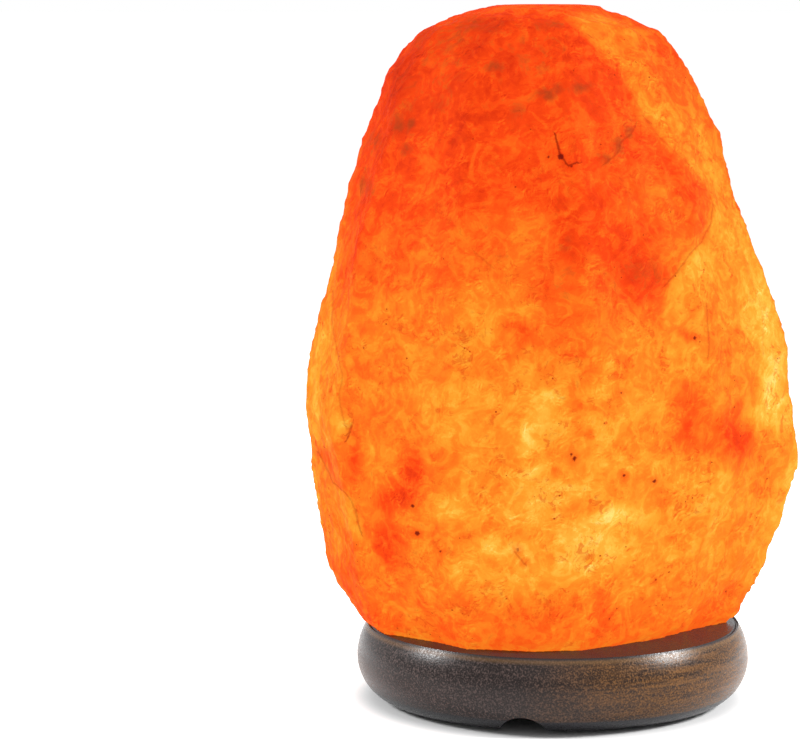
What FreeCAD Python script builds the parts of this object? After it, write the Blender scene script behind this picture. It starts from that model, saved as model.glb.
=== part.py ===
import FreeCAD
import Part
import Sketcher
import math
import os

# Salt crystal lamp: a hewn lump of rock salt on a turned wooden base. A pull-out bulb
# holder sits in the base, with a small screw-cap bulb standing in a bore in the salt.
# Millimetres. +Z is up, Z = 0 is the table under the feet, and the cable channel opens
# towards -Y. The crystal's broad face is turned a little from -Y, towards +X.

doc = FreeCAD.newDocument("SaltCrystalLamp")

SIZES = {
    # wooden base, turned on a lathe
    "base_width": 128.0,
    "base_bottom_width": 115.0,
    "base_rim_width": 121.6,
    "base_thick": 23.5,
    "base_widest_rise": 12.5,
    "rim_groove_width": 1.2,
    "rim_groove_depth": 0.7,
    "bore_width": 46.0,
    "recess_width": 55.0,
    "recess_depth": 7.0,
    "channel_width": 15.1,
    "channel_rise": 3.9,
    # rubber feet
    "foot_width": 9.0,
    "foot_stand": 1.5,
    "foot_sunk": 1.5,
    "foot_circle": 96.0,
    # screws that hold the crystal down
    "screw_circle": 68.0,
    "screw_width": 4.0,
    "screw_head_width": 7.6,
    "screw_head_rise": 2.4,
    "screw_head_bevel": 0.96,
    "screw_way_gap": 0.1,
    "screw_reach": 18.0,
    "screw_pocket_width": 9.2,
    "screw_pocket_depth": 6.5,
    "washer_width": 8.6,
    "washer_thick": 0.8,
    "plug_width": 8.0,
    "plug_length": 22.0,
    # salt crystal: heights of its sections over the base, and the bulb bore
    "crystal_turn": 8.7,
    "crystal_bore_width": 47.0,
    "crystal_bore_depth": 82.0,
    "crystal_bore_dome": 8.0,
    "crystal_bore_end_width": 28.2,
    "hew_depth": 1.3,
    # holder plate, nipple and nut
    "plate_width": 53.8,
    "plate_thick": 1.0,
    "plate_flange": 2.5,
    "nipple_width": 10.0,
    "nipple_bore": 7.8,
    "nipple_above": 8.5,
    "nipple_below": 4.9,
    "nut_across": 14.0,
    "nut_thick": 3.0,
    "lock_washer_thick": 0.6,
    "lock_washer_width": 15.0,
    # spring clips
    "yoke_thick": 0.8,
    "yoke_span": 36.6,
    "yoke_wide": 14.0,
    "yoke_ear": 5.7,
    "arm_thick": 0.8,
    "arm_wide": 8.0,
    "arm_rise": 32.0,
    "arm_bore_gap": 0.7,
    "arm_curl": 5.0,
    "arm_curl_in": 2.5,
    "arm_bend_below_tip": 2.0,
    "arm_bend_in": 0.5,
    # lamp holder
    "cap_width": 29.0,
    "cap_rise": 8.2,
    "cap_wall": 2.0,
    "cap_floor": 3.6,
    "cap_boss_wall": 2.5,
    "spigot_rise": 4.9,
    "spigot_inset": 1.9,
    "holder_shell_rise": 27.5,
    "holder_shell_top_width": 20.0,
    "holder_shell_mouth": 14.4,
    "shell_collar_rise": 3.6,
    "shell_collar_slope": 3.0,
    "shell_collar_step": 1.8,
    "shell_bevel": 0.8,
    "carrier_width": 21.0,
    "carrier_thick": 5.6,
    "screw_shell_wall": 0.4,
    "screw_shell_rise": 15.5,
    "contact_width": 5.2,
    "contact_shank": 2.8,
    "contact_head": 1.0,
    "contact_bevel": 0.3,
    "contact_lip_gap": 0.4,
    "post_width": 1.8,
    "strip_thick": 0.8,
    "strip_wide": 5.0,
    "strip_end": 9.5,
    "terminal_offset": 7.3,
    "terminal_head_width": 4.4,
    "terminal_head_rise": 1.6,
    "terminal_width": 2.4,
    "terminal_depth": 4.1,
    # bulb
    "bulb_cap_width": 11.8,
    "bulb_cap_wall": 0.3,
    "bulb_cap_rise": 14.1,
    "bulb_cap_hole": 5.6,
    "bulb_tip_width": 3.8,
    "bulb_tip_rise": 0.8,
    "insulator_rise": 1.5,
    "insulator_foot_width": 4.6,
    "insulator_top_width": 10.6,
    "bulb_length": 48.0,
    "bulb_width": 22.0,
    "bulb_wall": 0.7,
    "bulb_neck_sunk": 7.0,
    "bulb_flare_rise": 9.0,
    "bulb_shoulder_round": 5.0,
    "stem_rise": 17.5,
    "stem_width": 2.4,
    "stem_flare_thick": 0.8,
    "stem_flare_rise": 2.4,
    "wire_way_width": 0.9,
    "lead_wire": 0.6,
    "lead_offset": 2.2,
    "lead_fork": 5.0,
    "filament_wire": 0.7,
    "filament_over_cap": 17.0,
    # clearances
    "fit_gap": 0.05,
    "drop_gap": 0.3,
    "thread_gap": 0.075,
    "touch_gap": 0.1,
}

# The crystal's sections, from its seat upwards. Each one's height over the seat, how far
# it reaches to the left, right, front and back of the lamp's axis, where its front right
# corner and its long right ridge stand, as shares of the section's breadth and depth.
SECTIONS = {
    "seat": (0.0, -62.5, 57.5, -52.0, 50.0, 0.12, 0.80, 0.27),
    "skirt": (20.0, -71.5, 68.5, -60.0, 57.0, 0.09, 0.82, 0.26),
    "belly": (54.0, -79.0, 79.0, -66.0, 64.0, 0.05, 0.84, 0.25),
    "waist": (69.0, -80.5, 76.5, -67.0, 65.0, 0.04, 0.84, 0.24),
    "flank": (90.0, -78.0, 75.2, -66.0, 64.0, 0.03, 0.83, 0.21),
    "chest": (113.0, -73.0, 66.5, -63.0, 60.0, 0.02, 0.83, 0.18),
    "shoulder": (137.0, -66.7, 58.0, -58.0, 55.0, 0.02, 0.88, 0.20),
    "brow": (158.0, -61.0, 52.0, -52.0, 49.0, 0.03, 0.86, 0.20),
    "temple": (178.0, -54.0, 43.0, -44.0, 42.0, 0.05, 0.84, 0.24),
    "crown": (192.0, -42.6, 32.7, -34.0, 32.0, 0.08, 0.86, 0.30),
    "tip": (200.8, -21.0, 9.5, -14.0, 13.0, 0.15, 0.84, 0.30),
}
SECTION_WORDS = ("rise", "left", "right", "front", "back")
STRIKE_PER_SECTION = 2.3
STRIKE_PER_CORNER = 1.7

for section_name, section_values in SECTIONS.items():
    for word, section_value in zip(SECTION_WORDS, section_values):
        SIZES[section_name + "_" + word] = section_value

sheet = doc.addObject("Spreadsheet::Sheet", "Sizes")
for row, (alias, number) in enumerate(SIZES.items(), start=1):
    sheet.set("A" + str(row), alias)
    sheet.set("B" + str(row), str(number))
    sheet.setAlias("B" + str(row), alias)
doc.recompute()


class Length:
    """A size that knows both its number and the sheet expression that drives it."""

    def __init__(self, number, words):
        self.number = number
        self.words = words

    def __add__(self, other):
        other = as_length(other)
        return Length(self.number + other.number, f"({self.words} + {other.words})")

    def __sub__(self, other):
        other = as_length(other)
        return Length(self.number - other.number, f"({self.words} - {other.words})")

    def __mul__(self, share):
        return Length(self.number * share, f"({self.words} * {share:.9f})")

    def __truediv__(self, share):
        return self * (1.0 / share)

    def __neg__(self):
        return self * -1.0


def as_length(value):
    """Let a plain number stand beside the sheet's sizes."""
    if isinstance(value, Length):
        return value
    return Length(float(value), repr(float(value)))


def size(name):
    """The size that the sheet holds under this name."""
    return Length(float(sheet.get(name)), "Sizes." + name)


ZERO = as_length(0.0)
PLANE_ROLES = {"flat": "XY_Plane", "front": "XZ_Plane"}
HALF = 0.5
FULL_TURN = 360.0


def new_body(label):
    """A body for one sub-part."""
    body = doc.addObject("PartDesign::Body", label)
    body.Label = label
    body.AllowCompound = True
    return body


def origin_part(body, role):
    """One of the body's own origin planes or axes."""
    for feature in body.Origin.OriginFeatures:
        if feature.Role == role:
            return feature
    raise ValueError(role)


def new_sketch(body, name, plane, level=ZERO):
    """A sketch on one of the body's origin planes, raised off it by level."""
    sketch = body.newObject("Sketcher::SketchObject", body.Label + "_" + name)
    sketch.AttachmentSupport = (origin_part(body, PLANE_ROLES[plane]), [""])
    sketch.MapMode = "FlatFace"
    sketch.AttachmentOffset = FreeCAD.Placement(
        FreeCAD.Vector(0, 0, level.number), FreeCAD.Rotation()
    )
    sketch.setExpression("AttachmentOffset.Base.z", level.words)
    return sketch


def pin_coordinate(sketch, kind, geometry, end, length):
    """Hold one coordinate of a sketch point at a size."""
    constraint = Sketcher.Constraint(kind, -1, 1, geometry, end, length.number)
    index = sketch.addConstraint(constraint)
    sketch.setExpression(f"Constraints[{index}]", length.words)


def pin_point(sketch, geometry, end, across, up):
    """Hold a sketch point at its two sizes."""
    pin_coordinate(sketch, "DistanceX", geometry, end, across)
    pin_coordinate(sketch, "DistanceY", geometry, end, up)


def arc_centre(start, finish, level):
    """Where an arc through two points is centred when its centre stands at a level."""
    start_drop = start[1].number - level.number
    finish_drop = finish[1].number - level.number
    run = 2.0 * (start[0].number - finish[0].number)
    spread = start[0].number ** 2 - finish[0].number ** 2
    return (spread + start_drop**2 - finish_drop**2) / run, level.number


def arc_between(start, finish, level):
    """The shorter arc from start to finish, and whether it runs anticlockwise."""
    centre_x, centre_y = arc_centre(start, finish, level)
    first = math.atan2(start[1].number - centre_y, start[0].number - centre_x)
    last = math.atan2(finish[1].number - centre_y, finish[0].number - centre_x)
    radius = math.hypot(start[1].number - centre_y, start[0].number - centre_x)
    anticlockwise = (last - first) % math.tau < math.pi
    if not anticlockwise:
        first, last = last, first
    circle = Part.Circle(FreeCAD.Vector(centre_x, centre_y, 0), FreeCAD.Vector(0, 0, 1), radius)
    return Part.ArcOfCircle(circle, first, last), anticlockwise


def trace(sketch, points):
    """Draw a closed outline. A point is (across, up), or (across, up, level) where the
    side that leaves it is an arc whose centre stands at that level."""
    ends = []
    for index, point in enumerate(points):
        target = points[(index + 1) % len(points)]
        if len(point) == 3:
            arc, anticlockwise = arc_between(point, target, point[2])
            geometry = sketch.addGeometry(arc)
            centre = Sketcher.Constraint("DistanceY", -1, 1, geometry, 3, point[2].number)
            centre_index = sketch.addConstraint(centre)
            sketch.setExpression(f"Constraints[{centre_index}]", point[2].words)
            ends.append((geometry, 1, 2) if anticlockwise else (geometry, 2, 1))
        else:
            here = FreeCAD.Vector(point[0].number, point[1].number, 0)
            there = FreeCAD.Vector(target[0].number, target[1].number, 0)
            geometry = sketch.addGeometry(Part.LineSegment(here, there))
            ends.append((geometry, 1, 2))
    for index, point in enumerate(points):
        geometry, start, _ = ends[index]
        before, _, before_end = ends[index - 1]
        sketch.addConstraint(Sketcher.Constraint("Coincident", before, before_end, geometry, start))
        pin_point(sketch, geometry, start, point[0], point[1])


def circle(sketch, across, up, radius):
    """Draw a circle held by its centre and radius."""
    middle = FreeCAD.Vector(across.number, up.number, 0)
    upward = FreeCAD.Vector(0, 0, 1)
    geometry = sketch.addGeometry(Part.Circle(middle, upward, radius.number))
    pin_point(sketch, geometry, 3, across, up)
    index = sketch.addConstraint(Sketcher.Constraint("Radius", geometry, radius.number))
    sketch.setExpression(f"Constraints[{index}]", radius.words)


def upright_axis(sketch, across, low, high):
    """A construction line that stands at a distance from the sketch's own axis."""
    foot = FreeCAD.Vector(across.number, low.number, 0)
    head = FreeCAD.Vector(across.number, high.number, 0)
    geometry = sketch.addGeometry(Part.LineSegment(foot, head), True)
    pin_point(sketch, geometry, 1, across, low)
    pin_point(sketch, geometry, 2, across, high)


def turn(body, sketch, axis="V_Axis", cut=False):
    """Turn an outline about an upright axis, adding material or cutting it."""
    kind = "PartDesign::Groove" if cut else "PartDesign::Revolution"
    feature = body.newObject(kind, sketch.Label + "_turned")
    feature.Profile = sketch
    feature.ReferenceAxis = (sketch, [axis])
    feature.Angle = FULL_TURN
    return feature


def pad(body, sketch, depth, midplane=False, reversed_way=False):
    """Give a flat outline its thickness."""
    feature = body.newObject("PartDesign::Pad", sketch.Label + "_pad")
    feature.Profile = sketch
    feature.Midplane = midplane
    feature.Reversed = reversed_way
    feature.setExpression("Length", depth.words)
    return feature


def pocket(body, sketch, depth, reversed_way=False):
    """Cut a flat outline into the body."""
    feature = body.newObject("PartDesign::Pocket", sketch.Label + "_pocket")
    feature.Profile = sketch
    feature.Reversed = reversed_way
    feature.setExpression("Length", depth.words)
    return feature


def repeat_around(body, feature, count):
    """Repeat a feature evenly about the lamp's axis."""
    pattern = body.newObject("PartDesign::PolarPattern", feature.Label + "_ring")
    pattern.Originals = [feature]
    pattern.Axis = (origin_part(body, "Z_Axis"), [""])
    pattern.Angle = FULL_TURN
    pattern.Occurrences = count
    body.Tip = pattern
    return pattern


def turned(label, points):
    """A sub-part turned about the lamp's own axis."""
    body = new_body(label)
    sketch = new_sketch(body, "profile", "front")
    trace(sketch, points)
    turn(body, sketch)
    return body


def turned_set(label, points, ring_radius, count, start_angle):
    """Like sub-parts, turned about upright axes that stand in a ring."""
    body = new_body(label)
    sketch = new_sketch(body, "profile", "front")
    placed = [(ring_radius + across, up) for across, up in points]
    trace(sketch, placed)
    heights = [point[1] for point in points]
    lowest = min(heights, key=lambda height: height.number)
    highest = max(heights, key=lambda height: height.number)
    upright_axis(sketch, ring_radius, lowest, highest)
    one = turn(body, sketch, axis="Axis0")
    repeat_around(body, one, count)
    body.Placement = FreeCAD.Placement(
        FreeCAD.Vector(0, 0, 0), FreeCAD.Rotation(FreeCAD.Vector(0, 0, 1), start_angle)
    )
    return body


def ring_holes(body, name, level, radius, depth, ring_radius, count, start_angle):
    """Round holes cut upwards from a level, evenly spaced in a ring."""
    sketch = new_sketch(body, name, "flat", level)
    angle = math.radians(start_angle)
    across = ring_radius * math.cos(angle)
    away = ring_radius * math.sin(angle)
    circle(sketch, across, away, radius)
    hole = pocket(body, sketch, depth, reversed_way=True)
    repeat_around(body, hole, count)


# ------------------------------------------------------------------ shared levels
fit_gap = size("fit_gap")
touch_gap = size("touch_gap")
wood_floor = size("foot_stand")
seat_level = wood_floor + size("base_thick")
recess_roof = wood_floor + size("recess_depth")
screw_seat = wood_floor + size("screw_pocket_depth")

screw_radius = size("screw_width") * HALF
screw_ring = size("screw_circle") * HALF
foot_ring = size("foot_circle") * HALF
SCREW_COUNT = 3
FOOT_COUNT = 4
TERMINAL_COUNT = 2
WIRE_COUNT = 2
NUT_SIDES = 6
SCREW_START = 90.0
FOOT_START = 45.0
TERMINAL_START = 90.0
WIRE_START = 0.0
SUPPORT_ANGLES = (45.0, 90.0, 135.0)

plate_top = recess_roof
plate_under = plate_top - size("plate_thick")
yoke_top = plate_top + size("yoke_thick")
cap_shoulder = yoke_top + size("cap_rise")
carrier_under = cap_shoulder + size("spigot_rise")
carrier_top = carrier_under + size("carrier_thick")
contact_top = carrier_top + size("contact_head")
holder_top = cap_shoulder + size("holder_shell_rise")
nipple_radius = size("nipple_width") * HALF
nipple_hole = nipple_radius + fit_gap

bulb_foot = contact_top + touch_gap
insulator_foot = bulb_foot + size("bulb_tip_rise")
bulb_cap_foot = insulator_foot + size("insulator_rise")
bulb_cap_top = bulb_cap_foot + size("bulb_cap_rise")
bulb_top = bulb_foot + size("bulb_length")
bulb_cap_radius = size("bulb_cap_width") * HALF
filament_level = bulb_cap_top + size("filament_over_cap")


# ------------------------------------------------------------------ wooden base
def make_wood_base():
    """Bellied disc with a flat top inside a turned line, bored for the bulb holder, and
    recessed underneath for its plate, with an arched channel out to the edge."""
    widest = wood_floor + size("base_widest_rise")
    belly = size("base_width") * HALF
    rim = size("base_rim_width") * HALF
    groove_inner = rim - size("rim_groove_width")
    groove_middle = rim - size("rim_groove_width") * HALF
    bore = size("bore_width") * HALF
    recess = size("recess_width") * HALF
    bottom = size("base_bottom_width") * HALF
    body = turned(
        "wood_base",
        [
            (recess, wood_floor),
            (bottom, wood_floor, widest),
            (belly, widest, widest),
            (rim, seat_level),
            (groove_middle, seat_level - size("rim_groove_depth")),
            (groove_inner, seat_level),
            (bore, seat_level),
            (bore, recess_roof),
            (recess, recess_roof),
        ],
    )
    # the cable channel: a round-topped notch from the recess to the front edge
    half_width = size("channel_width") * HALF
    rise = size("channel_rise").number
    arch_radius = (half_width.number**2 + rise**2) / (2.0 * rise)
    arch_level = wood_floor + size("channel_rise") - arch_radius
    sketch = new_sketch(body, "channel", "front")
    trace(
        sketch,
        [
            (-half_width, ZERO),
            (half_width, ZERO),
            (half_width, wood_floor, arch_level),
            (-half_width, wood_floor),
        ],
    )
    pocket(body, sketch, size("base_width"), reversed_way=True)
    # pockets for the screws' heads, the screws themselves, and the feet
    pocket_radius = size("screw_pocket_width") * HALF
    ring_holes(
        body, "screw_pocket", wood_floor, pocket_radius,
        size("screw_pocket_depth"), screw_ring, SCREW_COUNT, SCREW_START,
    )
    ring_holes(
        body, "screw_way", wood_floor, screw_radius + size("screw_way_gap"),
        size("base_thick"), screw_ring, SCREW_COUNT, SCREW_START,
    )
    ring_holes(
        body, "foot_pocket", wood_floor, size("foot_width") * HALF + fit_gap,
        size("foot_sunk"), foot_ring, FOOT_COUNT, FOOT_START,
    )
    return body


def make_rubber_feet():
    """Four round feet set in pockets, with their lower edges bevelled."""
    radius = size("foot_width") * HALF
    bevel = size("foot_stand") * HALF
    top = wood_floor + size("foot_sunk")
    points = [(ZERO, ZERO), (radius - bevel, ZERO), (radius, bevel), (radius, top), (ZERO, top)]
    return turned_set("rubber_feet", points, foot_ring, FOOT_COUNT, FOOT_START)


# ------------------------------------------------------------------ crystal and its screws
def make_salt_crystal():
    """Hewn lump of rock salt: ruled between ten-cornered sections, each of them uneven,
    then bored from below for the bulb and the three plugs."""
    body = new_body("salt_crystal")
    sketches = []
    for index, (name, values) in enumerate(SECTIONS.items()):
        left = size(name + "_left")
        breadth = size(name + "_right") - left
        front = size(name + "_front")
        depth = size(name + "_back") - front
        corner_away, ridge_across, ridge_away = values[len(SECTION_WORDS):]
        corners = (
            (1.00, 0.50), (0.91, 0.82), (0.64, 1.00), (0.33, 0.99), (0.07, 0.80),
            (0.00, 0.47), (0.08, 0.20), (0.30, 0.02), (0.60, corner_away),
            (ridge_across, ridge_away),
        )
        sketch = new_sketch(body, name, "flat", seat_level + size(name + "_rise"))
        outline = []
        for corner, (across, away) in enumerate(corners):
            # each corner is struck off a little differently, kept inside the reaches
            strike = math.sin(STRIKE_PER_SECTION * index + STRIKE_PER_CORNER * corner)
            inward_x = size("hew_depth") * (strike * (HALF - across))
            inward_y = size("hew_depth") * (strike * (HALF - away))
            outline.append((left + breadth * across + inward_x, front + depth * away + inward_y))
        trace(sketch, outline)
        sketches.append(sketch)
    loft = body.newObject("PartDesign::AdditiveLoft", "salt_crystal_loft")
    loft.Profile = sketches[0]
    loft.Sections = sketches[1:]
    loft.Ruled = True
    # the bore for the bulb, with the rounded end that the core drill leaves
    bore = size("crystal_bore_width") * HALF
    bore_top = seat_level + size("crystal_bore_depth")
    dome_top = bore_top + size("crystal_bore_dome")
    sketch = new_sketch(body, "bore", "front")
    trace(
        sketch,
        [
            (ZERO, seat_level),
            (bore, seat_level),
            (bore, bore_top),
            (size("crystal_bore_end_width") * HALF, dome_top),
            (ZERO, dome_top),
        ],
    )
    turn(body, sketch, cut=True)
    crystal_turn = size("crystal_turn").number
    ring_holes(
        body, "plug_hole", seat_level, size("plug_width") * HALF + fit_gap,
        size("plug_length") + touch_gap, screw_ring, SCREW_COUNT, SCREW_START - crystal_turn,
    )
    body.Placement = FreeCAD.Placement(
        FreeCAD.Vector(0, 0, 0), FreeCAD.Rotation(FreeCAD.Vector(0, 0, 1), crystal_turn)
    )
    return body


def make_crystal_screws():
    """Three pan-head screws, driven up through the base."""
    head = size("screw_head_width") * HALF
    head_top = screw_seat - size("washer_thick")
    head_foot = head_top - size("screw_head_rise")
    bevel = size("screw_head_bevel")
    tip = seat_level + size("screw_reach")
    points = [
        (ZERO, head_foot),
        (head - bevel, head_foot),
        (head, head_foot + bevel),
        (head, head_top),
        (screw_radius, head_top),
        (screw_radius, tip - screw_radius),
        (ZERO, tip),
    ]
    return turned_set("crystal_screws", points, screw_ring, SCREW_COUNT, SCREW_START)


def ring_points(inner, outer, low, high):
    """The section of a plain ring."""
    return [(inner, low), (outer, low), (outer, high), (inner, high)]


def make_screw_washers():
    """Flat washers between the screws' heads and the wood."""
    low = screw_seat - size("washer_thick")
    points = ring_points(screw_radius + fit_gap, size("washer_width") * HALF, low, screw_seat)
    return turned_set("screw_washers", points, screw_ring, SCREW_COUNT, SCREW_START)


def make_crystal_plugs():
    """Plastic wall plugs pushed into the salt, that the screws bite into."""
    top = seat_level + size("plug_length")
    points = ring_points(screw_radius + fit_gap, size("plug_width") * HALF, seat_level, top)
    return turned_set("crystal_plugs", points, screw_ring, SCREW_COUNT, SCREW_START)


# ------------------------------------------------------------------ holder plate and nipple
def make_holder_plate():
    """Pressed steel disc with its edge turned down, that closes the base's bore."""
    radius = size("plate_width") * HALF
    thick = size("plate_thick")
    return turned(
        "holder_plate",
        [
            (nipple_hole, plate_under),
            (radius - thick, plate_under),
            (radius - thick, plate_top - size("plate_flange")),
            (radius, plate_top - size("plate_flange")),
            (radius, plate_top - thick * HALF),
            (radius - thick * HALF, plate_top),
            (nipple_hole, plate_top),
        ],
    )


def make_nipple():
    """Hollow screwed tube: it clamps the holder to the plate and lets the cord in."""
    low = plate_top - size("nipple_below")
    high = plate_top + size("nipple_above")
    return turned("nipple", ring_points(size("nipple_bore") * HALF, nipple_radius, low, high))


def make_lock_washer():
    """Thin washer over the nut."""
    low = plate_under - size("lock_washer_thick")
    outer = size("lock_washer_width") * HALF
    return turned("lock_washer", ring_points(nipple_hole, outer, low, plate_under))


def make_nipple_nut():
    """Hexagon nut on the nipple, under the plate."""
    body = new_body("nipple_nut")
    low = plate_under - size("lock_washer_thick") - size("nut_thick")
    sketch = new_sketch(body, "hexagon", "flat", low)
    corner_radius = size("nut_across") * (HALF / math.cos(math.pi / NUT_SIDES))
    outline = []
    for corner in range(NUT_SIDES):
        angle = math.tau * corner / NUT_SIDES
        outline.append((corner_radius * math.cos(angle), corner_radius * math.sin(angle)))
    trace(sketch, outline)
    circle(sketch, ZERO, ZERO, nipple_hole)
    pad(body, sketch, size("nut_thick"))
    return body


# ------------------------------------------------------------------ spring clips
yoke_end = size("yoke_span") * HALF
arm_outer = yoke_end - size("yoke_thick") - touch_gap
arm_foot = yoke_top + size("drop_gap")


def make_clip_yoke():
    """Steel strap under the holder, with an upturned ear at each end for a spring arm."""
    body = new_body("clip_yoke")
    thick = size("yoke_thick")
    ear_top = yoke_top + size("yoke_ear")
    inside = yoke_end - thick
    sketch = new_sketch(body, "strap", "front")
    trace(
        sketch,
        [
            (-yoke_end, plate_top),
            (yoke_end, plate_top),
            (yoke_end, ear_top),
            (inside, ear_top),
            (inside, yoke_top),
            (-inside, yoke_top),
            (-inside, ear_top),
            (-yoke_end, ear_top),
        ],
    )
    pad(body, sketch, size("yoke_wide"), midplane=True)
    hole = new_sketch(body, "nipple_hole", "flat", plate_top)
    circle(hole, ZERO, ZERO, nipple_hole)
    pocket(body, hole, thick, reversed_way=True)
    return body


def make_spring_arm(label, side):
    """Sprung steel strip that leans out to the bore's wall, with its end curled back in.
    side is 1 for the arm at +X and -1 for the one at -X."""
    body = new_body(label)
    thick = size("arm_thick")
    ear_top = yoke_top + size("yoke_ear")
    tip_level = arm_foot + size("arm_rise")
    spread = size("bore_width") * HALF - size("arm_bore_gap")
    outer_side = [
        (arm_outer, arm_foot),
        (arm_outer, ear_top),
        (spread, tip_level - size("arm_curl")),
        (spread - size("arm_bend_in"), tip_level - size("arm_bend_below_tip")),
        (spread - size("arm_curl_in"), tip_level),
    ]
    inner_side = [(across - thick, up) for across, up in reversed(outer_side)]
    sketch = new_sketch(body, "strip", "front")
    trace(sketch, [(across * side, up) for across, up in outer_side + inner_side])
    pad(body, sketch, size("arm_wide"), midplane=True)
    return body


# ------------------------------------------------------------------ lamp holder
cap_radius = size("cap_width") * HALF
spigot_radius = cap_radius - size("spigot_inset")
screw_shell_inner = bulb_cap_radius + size("thread_gap")
lip_inner = size("contact_width") * HALF + size("contact_lip_gap")
post_radius = size("post_width") * HALF
post_offset = (lip_inner + screw_shell_inner) * HALF
strip_under = carrier_under - size("strip_thick")


def make_holder_cap():
    """Moulded cup on the nipple, with a spigot that the holder's shell screws over."""
    inside = spigot_radius - size("cap_wall")
    floor_top = yoke_top + size("cap_floor")
    boss = nipple_hole + size("cap_boss_wall")
    boss_top = plate_top + size("nipple_above")
    bevel = size("cap_wall") * HALF
    return turned(
        "holder_cap",
        [
            (nipple_hole, yoke_top),
            (cap_radius - bevel, yoke_top),
            (cap_radius, yoke_top + bevel),
            (cap_radius, cap_shoulder),
            (spigot_radius, cap_shoulder),
            (spigot_radius, carrier_under),
            (inside, carrier_under),
            (inside, floor_top),
            (boss, floor_top),
            (boss, boss_top),
            (nipple_hole, boss_top),
        ],
    )


def make_holder_shell():
    """Tapered moulded shell round the contacts, open at the top for the bulb."""
    mouth = size("holder_shell_mouth") * HALF
    top = size("holder_shell_top_width") * HALF
    carrier_side = size("carrier_width") * HALF + touch_gap
    collar_top = cap_shoulder + size("shell_collar_rise")
    bevel = size("shell_bevel")
    return turned(
        "holder_shell",
        [
            (spigot_radius + fit_gap, cap_shoulder),
            (cap_radius, cap_shoulder),
            (cap_radius, collar_top),
            (cap_radius - size("shell_collar_step"), collar_top + size("shell_collar_slope")),
            (top, holder_top - bevel),
            (top - bevel, holder_top),
            (mouth, holder_top),
            (mouth, carrier_top),
            (carrier_side, carrier_top),
            (carrier_side, carrier_under),
            (spigot_radius + fit_gap, carrier_under),
        ],
    )


def make_contact_carrier():
    """Ceramic disc that carries both contacts, with holes for the shanks and screws."""
    hole = size("contact_shank") * HALF + fit_gap
    body = turned(
        "contact_carrier",
        ring_points(hole, size("carrier_width") * HALF, carrier_under, carrier_top),
    )
    ring_holes(
        body, "terminal_hole", carrier_under, size("terminal_width") * HALF + fit_gap,
        size("terminal_depth"), size("terminal_offset"), TERMINAL_COUNT, TERMINAL_START,
    )
    post = new_sketch(body, "post_hole", "flat", carrier_under)
    circle(post, ZERO, post_offset, post_radius + fit_gap)
    pocket(body, post, size("carrier_thick"), reversed_way=True)
    return body


def make_screw_shell():
    """Thin brass tube that takes the bulb's cap, with a lip turned in at its foot."""
    wall = size("screw_shell_wall")
    outer = screw_shell_inner + wall
    top = carrier_top + size("screw_shell_rise")
    return turned(
        "screw_shell",
        [
            (lip_inner, carrier_top),
            (outer, carrier_top),
            (outer, top),
            (screw_shell_inner, top),
            (screw_shell_inner, carrier_top + wall),
            (lip_inner, carrier_top + wall),
        ],
    )


def add_strip(body, near, far):
    """A flat brass strip under the carrier, from near to far along Y."""
    half_width = size("strip_wide") * HALF
    sketch = new_sketch(body, "strip", "flat", strip_under)
    trace(
        sketch,
        [(-half_width, near), (half_width, near), (half_width, far), (-half_width, far)],
    )
    middle = size("terminal_offset")
    if far.number < 0.0 or near.number < 0.0:
        middle = -middle
    circle(sketch, ZERO, middle, size("terminal_width") * HALF + fit_gap)
    pad(body, sketch, size("strip_thick"))


def make_centre_contact():
    """Brass strip with a headed shank up through the carrier, under the bulb's tip."""
    body = new_body("centre_contact")
    shank = size("contact_shank") * HALF
    add_strip(body, -size("strip_end"), shank + fit_gap)
    sketch = new_sketch(body, "shank", "front")
    head = size("contact_width") * HALF
    bevel = size("contact_bevel")
    trace(
        sketch,
        [
            (ZERO, strip_under),
            (shank, strip_under),
            (shank, carrier_top),
            (head, carrier_top),
            (head, contact_top - bevel),
            (head - bevel, contact_top),
            (ZERO, contact_top),
        ],
    )
    turn(body, sketch)
    return body


def make_side_contact():
    """Brass strip with a post up to the screw shell's lip."""
    body = new_body("side_contact")
    add_strip(body, post_offset - post_radius, size("strip_end"))
    sketch = new_sketch(body, "post", "flat", strip_under)
    circle(sketch, ZERO, post_offset, post_radius)
    pad(body, sketch, carrier_top - strip_under)
    return body


def make_terminal_screws():
    """Two small screws that clamp the cord's cores to the strips."""
    head = size("terminal_head_width") * HALF
    shank = size("terminal_width") * HALF
    foot = strip_under - size("terminal_head_rise")
    tip = carrier_under + size("terminal_depth")
    points = [
        (ZERO, foot),
        (head, foot),
        (head, strip_under),
        (shank, strip_under),
        (shank, tip),
        (ZERO, tip),
    ]
    offset = size("terminal_offset")
    return turned_set("terminal_screws", points, offset, TERMINAL_COUNT, TERMINAL_START)


# ------------------------------------------------------------------ bulb
neck_radius = bulb_cap_radius - size("bulb_cap_wall") - fit_gap
neck_foot = bulb_cap_top - size("bulb_neck_sunk")
flare_top = neck_foot + size("stem_flare_thick")
stem_top = neck_foot + size("stem_rise")
lead_radius = size("lead_wire") * HALF
filament_radius = size("filament_wire") * HALF


def make_bulb_tip_contact():
    """Button of solder at the foot of the bulb."""
    radius = size("bulb_tip_width") * HALF
    bevel = size("bulb_tip_rise") * HALF
    return turned(
        "bulb_tip_contact",
        [
            (ZERO, bulb_foot),
            (radius - bevel, bulb_foot),
            (radius, bulb_foot + bevel),
            (radius, insulator_foot),
            (ZERO, insulator_foot),
        ],
    )


def make_bulb_insulator():
    """Black glass between the tip and the screw cap."""
    return turned(
        "bulb_insulator",
        [
            (ZERO, insulator_foot),
            (size("insulator_foot_width") * HALF, insulator_foot),
            (size("insulator_top_width") * HALF, bulb_cap_foot),
            (ZERO, bulb_cap_foot),
        ],
    )


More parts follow.
